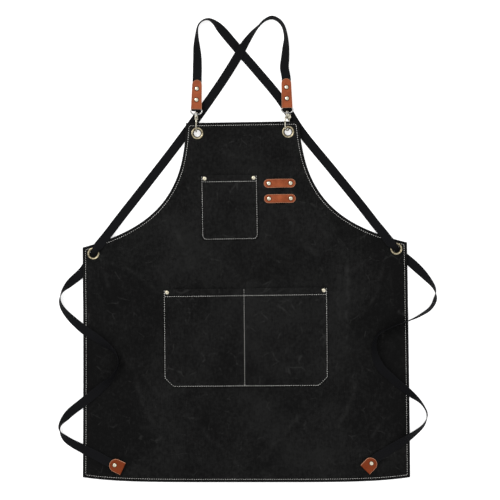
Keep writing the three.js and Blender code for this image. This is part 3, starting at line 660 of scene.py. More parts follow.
straps = {side: addStrap(side, route) for side, route in (("left", leftRoute), ("right", rightRoute))}
print("straps", {side: round(length * mm, 3) for side, (_, _, length) in straps.items()})

outline = np.concatenate([
    [[-cut["skirt"] / 2, bottom], [cut["skirt"] / 2, bottom]], armhole[::-1],
    armhole * [-1, 1], [[-cut["skirt"] / 2, bottom]],
])


def distanceTo(points, line):  # from each point to the nearest stretch of a line
    points = np.asarray(points, float)
    best = np.full(points.shape[:-1], 1e9)
    for a, b in zip(line[:-1], line[1:]):
        step = b - a
        t = clamp(((points - a) @ step) / max(step @ step, 1e-9))
        best = np.minimum(best, np.linalg.norm(points - a - t[..., None] * step, axis=-1))
    return best


# Soft folds that the cloth keeps: from, to, half width and height.
folds = [
    [(208, 92), (216, -96), 15, 2.2], [(190, 70), (203, -40), 12, -1.0], [(322, -216), (262, -292), 13, 1.3],
    [(-306, 88), (-262, -6), 13, 1.6], [(-296, 96), (-196, 40), 12, 1.3], [(-316, 78), (-300, -40), 10, 1.0],
    [(300, 88), (258, -8), 13, 1.5], [(292, 98), (206, 52), 12, 1.2], [(312, 76), (300, -30), 10, 0.9],
    [(-60, 322), (30, 300), 16, 1.1], [(90, 180), (150, 96), 18, 1.4], [(-150, 150), (-96, 66), 18, 1.2],
    [(-250, -120), (-196, -250), 16, 1.2], [(120, -215), (40, -330), 17, 1.1],
    [(-90, -260), (-20, -352), 16, 1.0], [(232, -150), (196, -262), 16, 1.4],
]
drawing = np.random.default_rng(11)
ripples = [(drawing.uniform(0, math.pi), drawing.uniform(70, 250), drawing.uniform(0, 6.3))
           for _ in range(14)]


def foldsAt(x, y):
    # the height of the folds, and how near each point is to a crest
    height, crest = 0 * x, 0 * x
    for (ax, ay), (bx, by), wide, tall in folds:
        step = np.array([bx - ax, by - ay])
        length = np.linalg.norm(step)
        t = ((x - ax) * step[0] + (y - ay) * step[1]) / length**2
        wander = 5 * np.sin(4.3 * t + ax)
        off = ((x - ax) * step[1] - (y - ay) * step[0]) / length + wander
        window = ease(t * 3 + 0.5) * ease((1 - t) * 3 + 0.5)
        shape = window / (1 + (off / wide) ** 2) ** 1.5  # a crest with long soft flanks
        height = height + tall * shape
        crest = np.maximum(crest, window * np.exp(-((off / (0.28 * wide)) ** 2)) * abs(tall) / 2)
    return height, crest


def relief(x, y):  # folds and a slow swell, which die out under the ties and at the hems
    swell = sum(
        0.0011 * pitch * np.sin((x * math.cos(way) + y * math.sin(way)) * 2 * math.pi / pitch + phase)
        for way, pitch, phase in ripples)
    calm = ease((halfWidth(y) - np.abs(x) - 4) / 60) * ease((y - bottom - 4) / 50)
    calm = calm * ease((top - y - 4) / 60)
    calm = calm * ease((np.hypot(np.abs(x) - holeX, y - holeY) - 14) / 30)
    height, crest = foldsAt(x, y)
    return np.maximum(calm * (height + 0.55 * swell), -1.1), calm * crest


hemStitch = 6.2


def hemShape(away):  # the turned hem: a soft edge, a raised band and a pinch at the stitches
    band = 0.45 * ease((9.2 - away) / 1.6)
    pinch = 0.5 * np.exp(-(((away - hemStitch) / 0.9) ** 2))
    return band - pinch


def pucker(x, y, away, line):  # small waves that the thread pulls up beside its stitches
    near = np.exp(-(((away - line) / 5) ** 2))
    waves = np.sin((x + y) * 0.55) + np.sin((x * 1.3 - y) * 0.37 + 1) + np.sin((x + y * 1.4) * 0.21)
    return 0.16 * near * waves


def panelFace(x, level):  # the height of the panel's front
    away = distanceTo(np.stack([x, level], -1), outline)
    height, _ = relief(x, level)
    rounded = np.sqrt(clamp(1 - (1 - clamp(away / 1.3)) ** 2))
    face = faceLevel + liftAt(x, level) + height + hemShape(away) - 0.75 * (1 - rounded)
    return face + pucker(x, level, away, hemStitch)


def panelPlace(x, level):  # the pattern's point as it lies, with the bottom's bow
    share = np.abs(x) / halfWidth(level)
    dip = cut["bow"] * share**5 * clamp(1 - (level - bottom) / 220)
    return laid(x, level + dip)


# How far in from the edge the grid's lines lie, closest together at the stitches and the hem.
edgeSteps = np.array([0, 0.35, 0.8, 1.4, 2.4, 3.6, 4.6, 5.2, 5.7, 6.2, 6.7, 7.2, 7.8, 8.6, 9.4, 10.4, 12.5])


def addPanel():
    # a grid whose lines crowd at the hems, with its cells left out at each grommet
    inner = np.linspace(-1, 1, 152)
    dense = np.linspace(0.9, 0.985, 13)
    inner = np.unique(np.round(np.concatenate([inner[np.abs(inner) < 0.9], dense, -dense, [-1, 1]]), 5))
    shares = np.concatenate([np.full(len(edgeSteps) - 1, -1.0), inner, np.full(len(edgeSteps) - 1, 1.0)])
    insets = np.concatenate([edgeSteps[:-1], np.full(len(inner), edgeSteps[-1]), edgeSteps[:-1][::-1]])
    skirtRows = np.linspace(bottom + edgeSteps[-1], waistLine - 30, 104)
    cornerRows = np.linspace(waistLine - 30, waistLine, 16)
    armRows = armholeLine(92)[::-1, 1]
    armRows = armRows[armRows < top - edgeSteps[-1] - 1]
    levels = np.unique(np.round(np.concatenate([
        bottom + edgeSteps, skirtRows, cornerRows, armRows, top - edgeSteps]), 3))
    levels = levels[np.concatenate([[True], np.diff(levels) > 0.2])]
    level = np.repeat(levels[:, None], len(shares), 1)
    x = shares * (halfWidth(level) - insets)
    front = panelFace(x, level)
    away = distanceTo(np.stack([x, level], -1), outline)
    height, crest = relief(x, level)
    toSide = np.minimum(halfWidth(level) - np.abs(x), level - bottom)
    inHem = ease((cut["hem"] + 0.5 - toSide) / 1.0) * (level < waistLine)
    rounded = np.sqrt(clamp(1 - (1 - clamp(away / 1.3)) ** 2))
    back = backLevel + liftAt(x, level) + height
    back = mix(back, liftAt(x, level) + 0.25, inHem) + 0.45 * (1 - rounded)
    back = np.minimum(back, front - 0.15)
    px, py = panelPlace(x, level)
    kept = np.ones((len(levels) - 1, len(shares) - 1), bool)
    cx, cy = [(a[:-1, :-1] + a[1:, 1:]) / 2 for a in (px, py)]
    for hx, hy in ((cut["grommetInset"], top - cut["grommetDrop"]), (holeX, holeY)):
        for side in (-1, 1):
            gx, gy = laid(side * hx, hy)
            kept &= np.hypot(cx - gx, cy - gy) > cut["holeCut"]
    panel = slab("apron_canvas", np.stack([px, py, front], -1), np.stack([px, py, back], -1), kept)
    tidy(panel)
    seam = np.maximum(np.exp(-(((away - hemStitch) / 1.1) ** 2)), 0.75 * ease((hemStitch - away) / 1.2))
    for name, values in (("crease", crest), ("seam", seam)):
        setAttribute(panel, name, np.tile(values.ravel(), 2)[panel["kept"]])
    del panel["kept"]
    canvas.on(panel)
    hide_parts("apron_panel")
    print("panel", levels.shape, shares.shape)
    return panel


def tidy(piece):  # drops the points that no face uses, and notes which ones stay
    mesh = piece.data
    corner = np.zeros(len(mesh.loops), np.int64)
    mesh.loops.foreach_get("vertex_index", corner)
    used = np.unique(corner)
    spots = np.zeros(len(mesh.vertices) * 3, np.float32)
    mesh.vertices.foreach_get("co", spots)
    fresh = bpy.data.meshes.new(mesh.name)
    faces = np.searchsorted(used, corner).reshape(-1, 4)
    fresh.from_pydata(spots.reshape(-1, 3)[used], [], faces.tolist())
    fresh.polygons.foreach_set("use_smooth", np.ones(len(faces), bool))
    fresh.update()
    piece.data = fresh
    piece["kept"] = used.tolist()


panel = addPanel()
pockets = {
    "chest": {"node": "chest_pocket", "x": -30.5, "width": 119, "height": 136, "top": 267.3, "chamfer": 6,
              "billow": 3.6, "dividers": [], "hem": 13.4},
    "lower": {"node": "lower_pocket", "x": 0, "width": 345, "height": 207, "top": 29.5, "chamfer": 19,
              "billow": 4.4, "dividers": [-3], "hem": 15.2},
}
pocketStitch = 2.4


def pocketBillow(pocket, across, height):
    # how far the loose mouth stands off the panel: nothing at the seams, most between them
    half = pocket["width"] / 2
    seams = [-half, *pocket["dividers"], half]
    span = (seams[1] - seams[0]) / 2
    near = np.min([np.abs(across - seam) for seam in seams], axis=0)
    share = clamp(height / pocket["height"])
    slack = np.sin(math.pi / 2 * clamp((near - 5) / (span - 5))) ** 0.85
    rumple = 0.35 * np.sin(across * 0.061 + 1.3 * share) * np.sin(height * 0.043 + 0.7)
    return (pocket["billow"] * share**1.4 + rumple * ease(share * 4)) * slack


def pocketOutline(pocket):  # down one side, across the chamfered foot and up the other
    half, tall, corner = pocket["width"] / 2, pocket["height"], pocket["chamfer"]
    return np.array([[-half, tall], [-half, corner], [-half + corner, 0], [half - corner, 0], [half, corner],
                     [half, tall]], float)


def pocketFace(pocket, across, height):
    # the front of the pocket's cloth, with its turned edges, hemmed mouth and pinched seams
    x, level = pocket["x"] + across, pocket["top"] - pocket["height"] + height
    folded, _ = relief(x, level)
    edge = distanceTo(np.stack([across, height], -1), pocketOutline(pocket))
    fromMouth = pocket["height"] - height
    turnedIn = 0.4 * ease((9 - edge) / 1.4)
    mouth = 0.45 * ease((pocket["hem"] + 1.6 - fromMouth) / 1.4)
    pinch = 0.42 * np.exp(-(((edge - pocketStitch) / 0.9) ** 2))
    pinch = np.maximum(pinch, 0.4 * np.exp(-(((fromMouth - pocket["hem"]) / 0.9) ** 2)))
    for divider in pocket["dividers"]:
        pinch = np.maximum(pinch, 0.5 * np.exp(-(((across - divider) / 1.1) ** 2)))
    rounded = np.sqrt(clamp(1 - (1 - clamp(np.minimum(edge, fromMouth) / 1.1)) ** 2))
    surface = faceLevel + liftAt(x, level) + folded + 0.25
    surface = surface + pocketBillow(pocket, across, height) + cut["cloth"]
    wave = pucker(x, level, edge, pocketStitch)
    return surface + np.maximum(turnedIn, mouth) - pinch - 0.55 * (1 - rounded) + wave, edge, fromMouth


def addPocket(name, pocket):
    # a grid whose lines crowd at the edges, the mouth and its hem
    half, tall = pocket["width"] / 2, pocket["height"]
    near = np.array([0, 0.3, 0.7, 1.2, 1.7, 2.1, 2.4, 2.7, 3.2, 4, 5.5, 7.4, 8.2, 9.2])
    inner = np.linspace(-1, 1, int(pocket["width"] / 2.6))
    shares = np.concatenate([np.full(len(near) - 1, -1.0), inner, np.full(len(near) - 1, 1.0)])
    insets = np.concatenate([near[:-1], np.full(len(inner), near[-1]), near[:-1][::-1]])
    hemRows = tall - pocket["hem"] + np.array([-3, -1.8, -1.1, -0.6, 0, 0.6, 1.1, 1.8, 3])
    heights = np.unique(np.round(np.concatenate([
        near, np.linspace(near[-1], tall - pocket["hem"] - 3, int(tall / 2.8)), hemRows,
        tall - np.array([0, 0.3, 0.7, 1.2, 2, 3.5, 6, 9])]), 3))
    height = np.repeat(heights[:, None], len(shares), 1)
    narrow = pocket["chamfer"] * (1 - clamp(height / pocket["chamfer"]))
    across = shares * (half - narrow - insets)
    front, edge, fromMouth = pocketFace(pocket, across, height)
    thick = cut["cloth"] + 0.45 * ease((pocket["hem"] + 1.6 - fromMouth) / 1.4) * (fromMouth > 1)
    rounded = np.sqrt(clamp(1 - (1 - clamp(np.minimum(edge, fromMouth) / 1.1)) ** 2))
    back = np.minimum(front - thick * mix(0.25, 1, rounded), front - 0.12)
    x, y = laid(pocket["x"] + across, pocket["top"] - tall + height)
    piece = slab(f"{name}_pocket_canvas", np.stack([x, y, front], -1), np.stack([x, y, back], -1))
    _, crest = relief(pocket["x"] + across, pocket["top"] - tall + height)
    seam = np.exp(-(((edge - pocketStitch) / 1.2) ** 2))
    seam = np.maximum(seam, np.exp(-(((fromMouth - pocket["hem"]) / 1.2) ** 2)))
    seam = np.maximum(seam, 0.6 * ease((pocketStitch - edge) / 0.8))
    lip = 0.5 * np.exp(-((np.minimum(edge, fromMouth) / 0.7) ** 2))
    setAttribute(piece, "crease", np.tile(np.maximum(crest, lip).ravel(), 2))
    setAttribute(piece, "seam", np.tile(seam.ravel(), 2))
    setAttribute(piece, "rubbed", np.ones(len(piece.data.vertices)))
    canvas.on(piece)
    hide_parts(pocket["node"])
    return piece


pocketPieces = {name: addPocket(name, pocket) for name, pocket in pockets.items()}
print("pockets")

stitch = {"pitch": 4.7, "long": 0.68, "wide": 0.86, "tall": 0.62, "rings": 8, "sides": 6}


def addStitches(name, runs, up=1):
    # one small bowed capsule for each stitch, evenly spaced along each run of points
    spots, ways = [], []
    for run in runs:
        run = np.asarray(run, float)
        along = np.concatenate([[0], np.cumsum(np.linalg.norm(np.diff(run, axis=0), axis=1))])
        count = max(2, round(along[-1] / stitch["pitch"]))
        edges = np.linspace(0, along[-1], count + 1)
        ends = np.stack([np.interp(edges, along, run[:, k]) for k in range(3)], 1)
        spots.append((ends[1:] + ends[:-1]) / 2)
        ways.append(ends[1:] - ends[:-1])
    spots, ways = np.concatenate(spots), np.concatenate(ways)
    length = np.linalg.norm(ways, axis=1)[:, None]
    ways = ways / length
    across = np.cross([0, 0, up], ways)
    across /= np.linalg.norm(across, axis=1)[:, None]
    lift = np.cross(ways, across)
    slant = 0.12
    ways = ways + slant * across
    s = np.linspace(-1, 1, stitch["rings"])
    full = np.sqrt(np.maximum(1 - s**4, 0.04))
    turn = np.linspace(0, 2 * math.pi, stitch["sides"], endpoint=False)
    ahead = np.repeat((s * stitch["long"] / 2)[:, None], stitch["sides"], 1)
    side = np.outer(full, np.cos(turn)) * stitch["wide"] / 2
    rise = np.outer(full, np.sin(turn)) * stitch["tall"] / 2 + (0.42 * (1 - s**2) - 0.2)[:, None]
    parts = [part.ravel()[None, :, None] for part in (ahead, side, rise)]
    points = (spots[:, None] + parts[0] * (length * ways)[:, None] + parts[1] * across[:, None]
              + parts[2] * lift[:, None])
    one = stitch["rings"] * stitch["sides"]
    at = np.arange(one).reshape(stitch["rings"], stitch["sides"])
    quads = np.stack([at[:-1], np.roll(at[:-1], -1, 1), np.roll(at[1:], -1, 1), at[1:]], -1).reshape(-1, 4)
    quads = (quads[None, :, ::-1] + one * np.arange(len(spots))[:, None, None]).reshape(-1, 4).tolist()
    starts = one * np.arange(len(spots))[:, None]
    caps = (starts + at[0]).tolist() + (starts + at[-1][::-1]).tolist()
    piece = toObject(name, points.reshape(-1, 3), quads + caps)
    return thread.on(piece)


def fine(points, step=2.5):  # more points along a run of straight stretches
    points = np.asarray(points, float)
    out = [points[:1]]
    for a, b in zip(points[:-1], points[1:]):
        count = max(1, int(np.linalg.norm(b - a) / step))
        out.append(a + (b - a) * (np.arange(1, count + 1) / count)[:, None])
    return np.concatenate(out)


def hemRun():  # the hem's stitches, an even distance in from the whole edge
    way = np.gradient(armhole, axis=0)
    inward = np.stack([-way[:, 1], way[:, 0]], 1) / np.linalg.norm(way, axis=1)[:, None]
    inward *= -np.sign(inward[:, :1])
    arm = armhole + inward * hemStitch
    arm = arm[(arm[:, 0] < cut["waist"] / 2 - hemStitch) & (arm[:, 1] < top - hemStitch)]
    foot = [cut["skirt"] / 2 - hemStitch, bottom + hemStitch]
    corner = [cut["waist"] / 2 - hemStitch, arm[-1, 1]]
    shoulder = [arm[0, 0], top - hemStitch]
    right = np.array([foot, corner, *arm[::-1].tolist(), shoulder])
    return fine(np.concatenate([right, right[::-1] * [-1, 1], right[:1]]))


def onPanel(run, front=True):  # a run of stitches laid on the cloth, or just under it
    x, level = run[:, 0], run[:, 1]
    height = panelFace(x, level)
    if not front:
        side = np.minimum(halfWidth(level) - np.abs(x), level - bottom)
        hemmed = (side < 9) & (level < waistLine)
        height = np.where(hemmed, liftAt(x, level) + 0.25, height - cut["cloth"])
    px, py = panelPlace(x, level)
    return np.stack([px, py, height + (0.12 if front else -0.02)], 1)


def pocketRuns(pocket):
    # round the pocket, across its hemmed mouth, up each divider, and a slanted tack in each top corner
    half, tall, corner, inset = pocket["width"] / 2, pocket["height"], pocket["chamfer"], pocketStitch
    tack = pocket["hem"]
    around = [[-half + inset, tall - 1.2], [-half + inset, corner + 1], [-half + corner + 1, inset],
              [half - corner - 1, inset], [half - inset, corner + 1], [half - inset, tall - 1.2]]
    runs = [around, [[-half + inset, tall - tack], [half - inset, tall - tack]]]
    runs += [[[x, tall - 1.2], [x, inset]] for x in pocket["dividers"]]
    runs += [[[side * (half - inset), tall - tack + 4], [side * (half - inset - 4.5), tall - 1]]
             for side in (-1, 1)]
    return [fine(run) for run in runs]


def onPocket(pocket, run, front=True):  # the same on a pocket, or behind the panel
    across, height = run[:, 0], run[:, 1]
    x, level = pocket["x"] + across, pocket["top"] - pocket["height"] + height
    px, py = laid(x, level)
    if front:
        z = pocketFace(pocket, across, height)[0] + 0.12
    else:
        z = backLevel + liftAt(x, level) + relief(x, level)[0] - 0.02
    return np.stack([px, py, z], 1)


hemLine = hemRun()
stitchPieces = {
    "hem": addStitches("hem_stitches", [onPanel(hemLine)]),
    "hem_back": addStitches("hem_stitches_back", [onPanel(hemLine, False)], -1),
}
for name, pocket in pockets.items():
    runs = pocketRuns(pocket)
    stitchPieces[name] = addStitches(f"{name}_pocket_stitches", [onPocket(pocket, run) for run in runs])
    through = [run for i, run in enumerate(runs) if i != 1]
    stitchPieces[name + "_back"] = addStitches(
        f"{name}_pocket_stitches_back", [onPocket(pocket, run, False) for run in through], -1)
print("stitches")

edgeSoft = 0.8  # how far in a cut edge is rounded


def leatherSlab(name, x, y, centre, normal, away, dents, onto, age=0.0):
    # a strip on a grid: its middle surface, its normal and its distance in from the cut edge
    rounded = np.sqrt(clamp(1 - (1 - clamp(away / edgeSoft)) ** 2))
    crown = 0.12 * ease(away / 5)
    press = sum(0.3 * np.exp(-((np.hypot(x - dx, y - dy) / 5.4) ** 6)) for dx, dy in dents)
    half = (leatherThick / 2 * mix(0.18, 1, rounded))[..., None]
    front = centre + normal * (half + (crown - press)[..., None] * rounded[..., None])
    back = centre - normal * half
    piece = slab(name, onto(front), onto(back))
    setAttribute(piece, "edge", np.tile(away.ravel(), 2))
    # painted shadow: a dark ring round each rivet's cap
    ring = np.max([np.exp(-(((np.hypot(x - dx, y - dy) - 4.7) / 1.1) ** 2)) for dx, dy in dents], axis=0)
    setAttribute(piece, "age", np.tile(np.maximum(ring, age).ravel(), 2))
    return leather.on(piece)


leatherSteps = np.array([0, 0.12, 0.32, 0.6, 0.95, 1.5, 2.3, 3.4])


def tabSurface(low, lift):
    # half width against height: straight sides that taper, under a round end
    endRadius = tabShape["widthHigh"] / 2
    start = tabShape["high"] - endRadius
    straight = np.concatenate([tabShape["low"] + leatherSteps, np.linspace(5, start, 34)])
    arc = start + endRadius * np.sin(np.linspace(0.06, math.pi / 2 - 0.02, 26))
    level = np.concatenate([straight, arc])
    past = np.maximum(0, level - start)
    side = mix(tabShape["widthLow"], tabShape["widthHigh"], clamp((level - tabShape["low"]) / start)) / 2
    half = np.where(past > 0, np.sqrt(np.maximum(endRadius**2 - past**2, 0)), side)
    share = np.sin(np.linspace(-math.pi / 2, math.pi / 2, 33))
    x = half[:, None] * share
    y = np.repeat(level[:, None], len(share), 1)
    edge = np.concatenate([np.stack([half, level], 1), np.stack([-half, level], 1)[::-1],
                           [[half[0], level[0]]]])
    away = distanceTo(np.stack([x, y], -1), edge)
    return x, y, np.stack([x, y, low + tabShape["thick"] / 2 + lift(y)], -1), away


def addTab(side):
    # the front face climbs over the bow's bar with the webbing, and the back face lies flat
    dents = [(0, y) for y in tabShape["rivets"]]
    for face, low, lift, up in (("front", tabFrontLow, lambda y: 1.1 * climb(y), 1),
                                ("back", tabBackLow, lambda y: 0 * y, -1)):
        x, y, centre, away = tabSurface(low, lift)
        if up < 0:
            x, y, centre, away = x[:, ::-1], y[:, ::-1], centre[:, ::-1], away[:, ::-1]
        piece = leatherSlab(f"{side}_tab_{face}_leather", x, y, centre, np.array([0, 0, float(up)]), away,
                            dents, lambda points: onTab(side, points))
        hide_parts(f"{side}_tab_{face}")


toolLoop = {"x": 75.3, "heights": {"upper": 248.6, "lower": 216.5}, "long": 66.3, "wide": 18, "rivets": 45.6,
            "arch": 6.3, "flat": 4.8}


def addToolLoop(name, level):
    # a stadium of leather, riveted flat near both ends and arched between the rivets
    reach, endRadius = toolLoop["long"] / 2, toolLoop["wide"] / 2
    bend = reach - endRadius
    arc = bend + endRadius * np.sin(np.linspace(0.06, math.pi / 2 - 0.02, 20))
    along = np.concatenate([-arc[::-1], np.linspace(-bend, bend, 56), arc])
    half = np.sqrt(np.maximum(endRadius**2 - np.maximum(0, np.abs(along) - bend) ** 2, 0))
    share = np.sin(np.linspace(-math.pi / 2, math.pi / 2, 29))
    y = share[:, None] * half
    x = np.repeat(along[None], len(share), 0)
    edge = np.concatenate([np.stack([along, half], 1), np.stack([along, -half], 1)[::-1],
                           [[along[0], half[0]]]])
    away = distanceTo(np.stack([x, y], -1), edge)
    flatFrom = toolLoop["rivets"] / 2 - toolLoop["flat"]
    arch = toolLoop["arch"] * np.cos(math.pi / 2 * clamp(np.abs(x) / flatFrom)) ** 2
    px, py = laid(toolLoop["x"] + x, level + y)
    base = faceLevel + relief(toolLoop["x"] + x, level + y)[0]
    centre = np.stack([px, py, base + gap + arch + leatherThick / 2], -1)
    dents = [(side * toolLoop["rivets"] / 2, 0) for side in (-1, 1)]
    piece = leatherSlab(f"{name}_loop_leather", x, y, centre, np.array([0, 0, 1.0]), away, dents,
                        lambda points: points)
    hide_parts(f"{name}_tool_loop")


def addTip(side):
    # one D-shaped strip folded over the webbing: out along the lower flap, round, and back on top
    half, reach = tipShape["width"] / 2, tipShape["long"] - tipShape["rivet"]
    low, high = tipLow + tipShape["thick"] / 2, tipHigh + tipShape["thick"] / 2
    radius = (high - low) / 2
    roundAt = half - tipShape["rivet"]  # the middle of the round end
    arc = roundAt - half * np.sin(np.linspace(math.pi / 2 - 0.02, 0.05, 26))
    flat = np.concatenate([arc, np.linspace(roundAt, reach, 14)])
    turn = np.linspace(-math.pi / 2, math.pi / 2, 16)[1:-1]
    lineX = np.concatenate([flat, reach + radius * np.cos(turn), flat[::-1]])
    lineZ = np.concatenate([np.full(len(flat), low), (low + high) / 2 + radius * np.sin(turn),
                            np.full(len(flat), high)])
    outX = np.concatenate([0 * flat, np.cos(turn), 0 * flat])
    outZ = np.concatenate([0 * flat - 1, np.sin(turn), 0 * flat + 1])
    wide = np.sqrt(np.maximum(half**2 - np.maximum(0, roundAt - lineX) ** 2, 0))
    share = np.sin(np.linspace(-math.pi / 2, math.pi / 2, 31))
    x = np.repeat(lineX[:, None], len(share), 1)
    y = wide[:, None] * share
    centre = np.stack([x, y, np.repeat(lineZ[:, None], len(share), 1)], -1)
    normal = np.stack([outX, 0 * outX, outZ], -1)[:, None]
    edge = np.concatenate([np.stack([flat, wide[:len(flat)]], 1), [[reach + 30, half]]])
    edge = np.concatenate([edge[::-1] * [1, -1], edge])
    away = distanceTo(np.stack([x, y], -1), edge)
    piece = leatherSlab(f"{side}_tip_leather", x, y, centre, normal, away, [(0, 0)],
                        lambda points: onTip(side, points), 0.75)
    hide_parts(f"{side}_strap_tip")
    return piece


for side in ("left", "right"):
    addTab(side)
for name, level in toolLoop["heights"].items():
    addToolLoop(name, level)
tips = {side: addTip(side) for side in ("left", "right")}
print("leather")

rivet = {"cap": 4.5, "dome": 1.7, "disc": 1.1, "shank": 1.5}


def metalPiece(name, shape, finish, node, onto, body="apron", recess=None):
    # a turned or cast shape put in its place, with a mark for the finish of where it darkens: patina in its
    # hollows and painted shade on slopes turned from the light
    points, faces = shape
    piece = toObject(name, onto(points), faces, body)
    if recess:
        setAttribute(piece, "recess", recess(np.hypot(points[:, 0], points[:, 1])))
    finish.on(piece)
    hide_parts(node)
    return piece


def domed(radius, low, tall, rim=0.35):
    # a short upright rim, a rounded shoulder and a shallow dome with a faint dimple
    swing = np.linspace(0.25, math.pi / 2, 14)
    dome = np.stack([radius * np.cos(swing), low + rim + (tall - rim) * np.sin(swing)], 1)
    dome[-1, 0] = 0
    dimple = 0.12 * np.exp(-((dome[:, 0] / 0.7) ** 2))
    dome[:, 1] -= dimple
    return [[0, low], [radius - 0.15, low], [radius, low + 0.12], [radius, low + rim], *dome.tolist()]


def disc(radius, low, thick, shank, high):  # a soft-edged disc below with a shank that stands on it
    return [[0, low + 0.2], [radius * 0.6, low], [radius - 0.3, low + 0.1], [radius, low + 0.4],
            [radius - 0.1, low + thick - 0.1], [radius - 0.4, low + thick], [shank + 0.1, low + thick],
            [shank, low + thick + 0.2], [shank, high - 0.1], [shank - 0.3, high], [0, high]]


def addRivet(name, back, front, onto):
    post = turned(disc(rivet["cap"], back, rivet["disc"], rivet["shank"], front - 0.1), 32)
    cap = turned(domed(rivet["cap"], front, rivet["dome"]), 36)
    return [metalPiece(f"{name}_back_disc", post, antique, f"{name}_post", onto),
            metalPiece(f"{name}_domed_cap", cap, paleBrass, f"{name}_cap", onto,
                       # painted shade round the cap's rim and in its dimple
                       recess=lambda reach: ease((reach - 3.3) / 0.6) + 0.5 * (reach < 0.5))]


def fromBox(node):
    # the middle of a node's box on plan, and its lowest and highest level, in pattern millimetres
    low, high = [np.array(corner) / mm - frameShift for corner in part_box(node)]
    return (low + high) / 2, low[2], high[2]


flatRivets = [f"chest_rivet_{side}" for side in ("left", "right")]
flatRivets += [f"lower_rivet_{side}" for side in ("left", "right")]
flatRivets += [f"{loop}_tool_loop_rivet_{side}" for loop in ("upper", "lower") for side in ("left", "right")]
pressIn = 0.25  # a cap sinks this far into what it holds
for name in flatRivets:
    middle, back, _ = fromBox(f"{name}_post")
    _, front, _ = fromBox(f"{name}_cap")
    x, y = middle[:2]
    proud = 0.75 if "loop" not in name else 0
    addRivet(name, back, front - pressIn + proud, lambda points: points + [x, y, 0])
for side in ("left", "right"):
    for level, y in zip(("lower", "upper"), tabShape["rivets"]):
        addRivet(f"{side}_tab_rivet_{level}", tabBackLow - gap - rivet["disc"] + pressIn,
                 tabFrontLow + tabShape["thick"] + gap - pressIn,
                 lambda points: onTab(side, points + [0, y, 0]))
tipRivets = {side: addRivet(f"{side}_strap_tip_rivet", gap, tipHigh + tipShape["thick"] + gap - pressIn,
                            lambda points: onTip(side, points)) for side in ("left", "right")}

grommet = {"outer": 12.75, "hole": 7.15, "barrel": 7.9, "flange": 1, "washerInner": 8.2, "washerOuter": 12}


def addGrommet(name, x, y):
    # a rolled flange that falls into a barrel, and a dished washer behind the cloth
    px, py = laid(x, y)
    lift = liftAt(x, y)
    front, back = faceLevel + lift + 0.12, backLevel + lift - gap
    roll = np.array([[12.7, 0.25], [12.5, 0.7], [12.1, 1.1], [11.6, 1.32], [11, 1.42], [10.4, 1.36],
                     [9.8, 1.15], [9.2, 0.82], [8.6, 0.4], [8, -0.1], [7.6, -0.5], [7.3, -0.9]]) + [0, front]
    low = back - grommet["flange"] - 0.2
    outer, hole, barrel = grommet["outer"], grommet["hole"], grommet["barrel"]
    eyelet = [[outer - 0.2, front], *roll.tolist(), [hole, front - 1.4], [hole, low + 0.3],
              [hole + 0.3, low], [barrel + 0.3, low + 0.1], [barrel, low + 0.5], [barrel, front - 0.1],
              [outer - 0.2, front]]
    washer = [[grommet["washerInner"], back - grommet["flange"]], [grommet["washerOuter"] - 0.6, back - 0.8],
              [grommet["washerOuter"], back - 0.4], [grommet["washerOuter"] - 0.1, back],
              [grommet["washerInner"], back], [grommet["washerInner"], back - grommet["flange"]]]
    for part, profile in (("eyelet", eyelet[::-1]), ("washer", washer)):
        metalPiece(f"{name}_{part}_ring", turned(profile[::-1], 64), antique, f"{name}_{part}",
                   onto=lambda points: points + [px, py, 0],
                   # painted shade, partly patina, on the flange's inner slope and its outer edge
                   recess=lambda reach: 0.95 * ease((9.9 - reach) / 1.3) + 0.8 * ease((reach - 12.1) / 0.5))


for side, sign in (("left", -1), ("right", 1)):
    addGrommet(f"bib_{side}", sign * cut["grommetInset"], top - cut["grommetDrop"])
    addGrommet(f"waist_{side}", sign * holeX, holeY)
print("rivets and grommets")

hook = {"drop": 9.2, "collar": 3.7, "collarLong": 4, "bore": 2.3, "wire": 1.5, "bend": 6.5,
        "intoHole": 3.2, "stud": 2, "head": 3.2, "hub": 3.5, "turn": {"left": 0, "right": -42}}
gate = {"y": -19.5, "z": -6.5, "pin": 0.9, "boss": 2.1}


def melted(piece, voxel=0.21, rounds=4):
    # fuses a casting's overlapping parts into one skin and softens its corners
    remesh = piece.modifiers.new("fuse", "REMESH")
    remesh.mode, remesh.voxel_size, remesh.use_smooth_shade = "VOXEL", voxel * mm, True
    soften = piece.modifiers.new("soften", "SMOOTH")
    soften.factor, soften.iterations = 0.5, rounds


def spun(profile, sides=32):  # turned about the hook's own long axis
    points, faces = turned(profile, sides)
    return points @ turnAbout("x", -90).T, faces


def crossways(radius, low, high, sides=28):  # a soft-ended pin across the hook, at the gate's pivot
    soft = min(0.25, radius / 3)
    points, faces = turned([[0, low], [radius - soft, low], [radius, low + soft], [radius, high - soft],
                            [radius - soft, high], [0, high]], sides)
    return points @ turnAbout("y", 90).T + [0, gate["y"], gate["z"]], faces


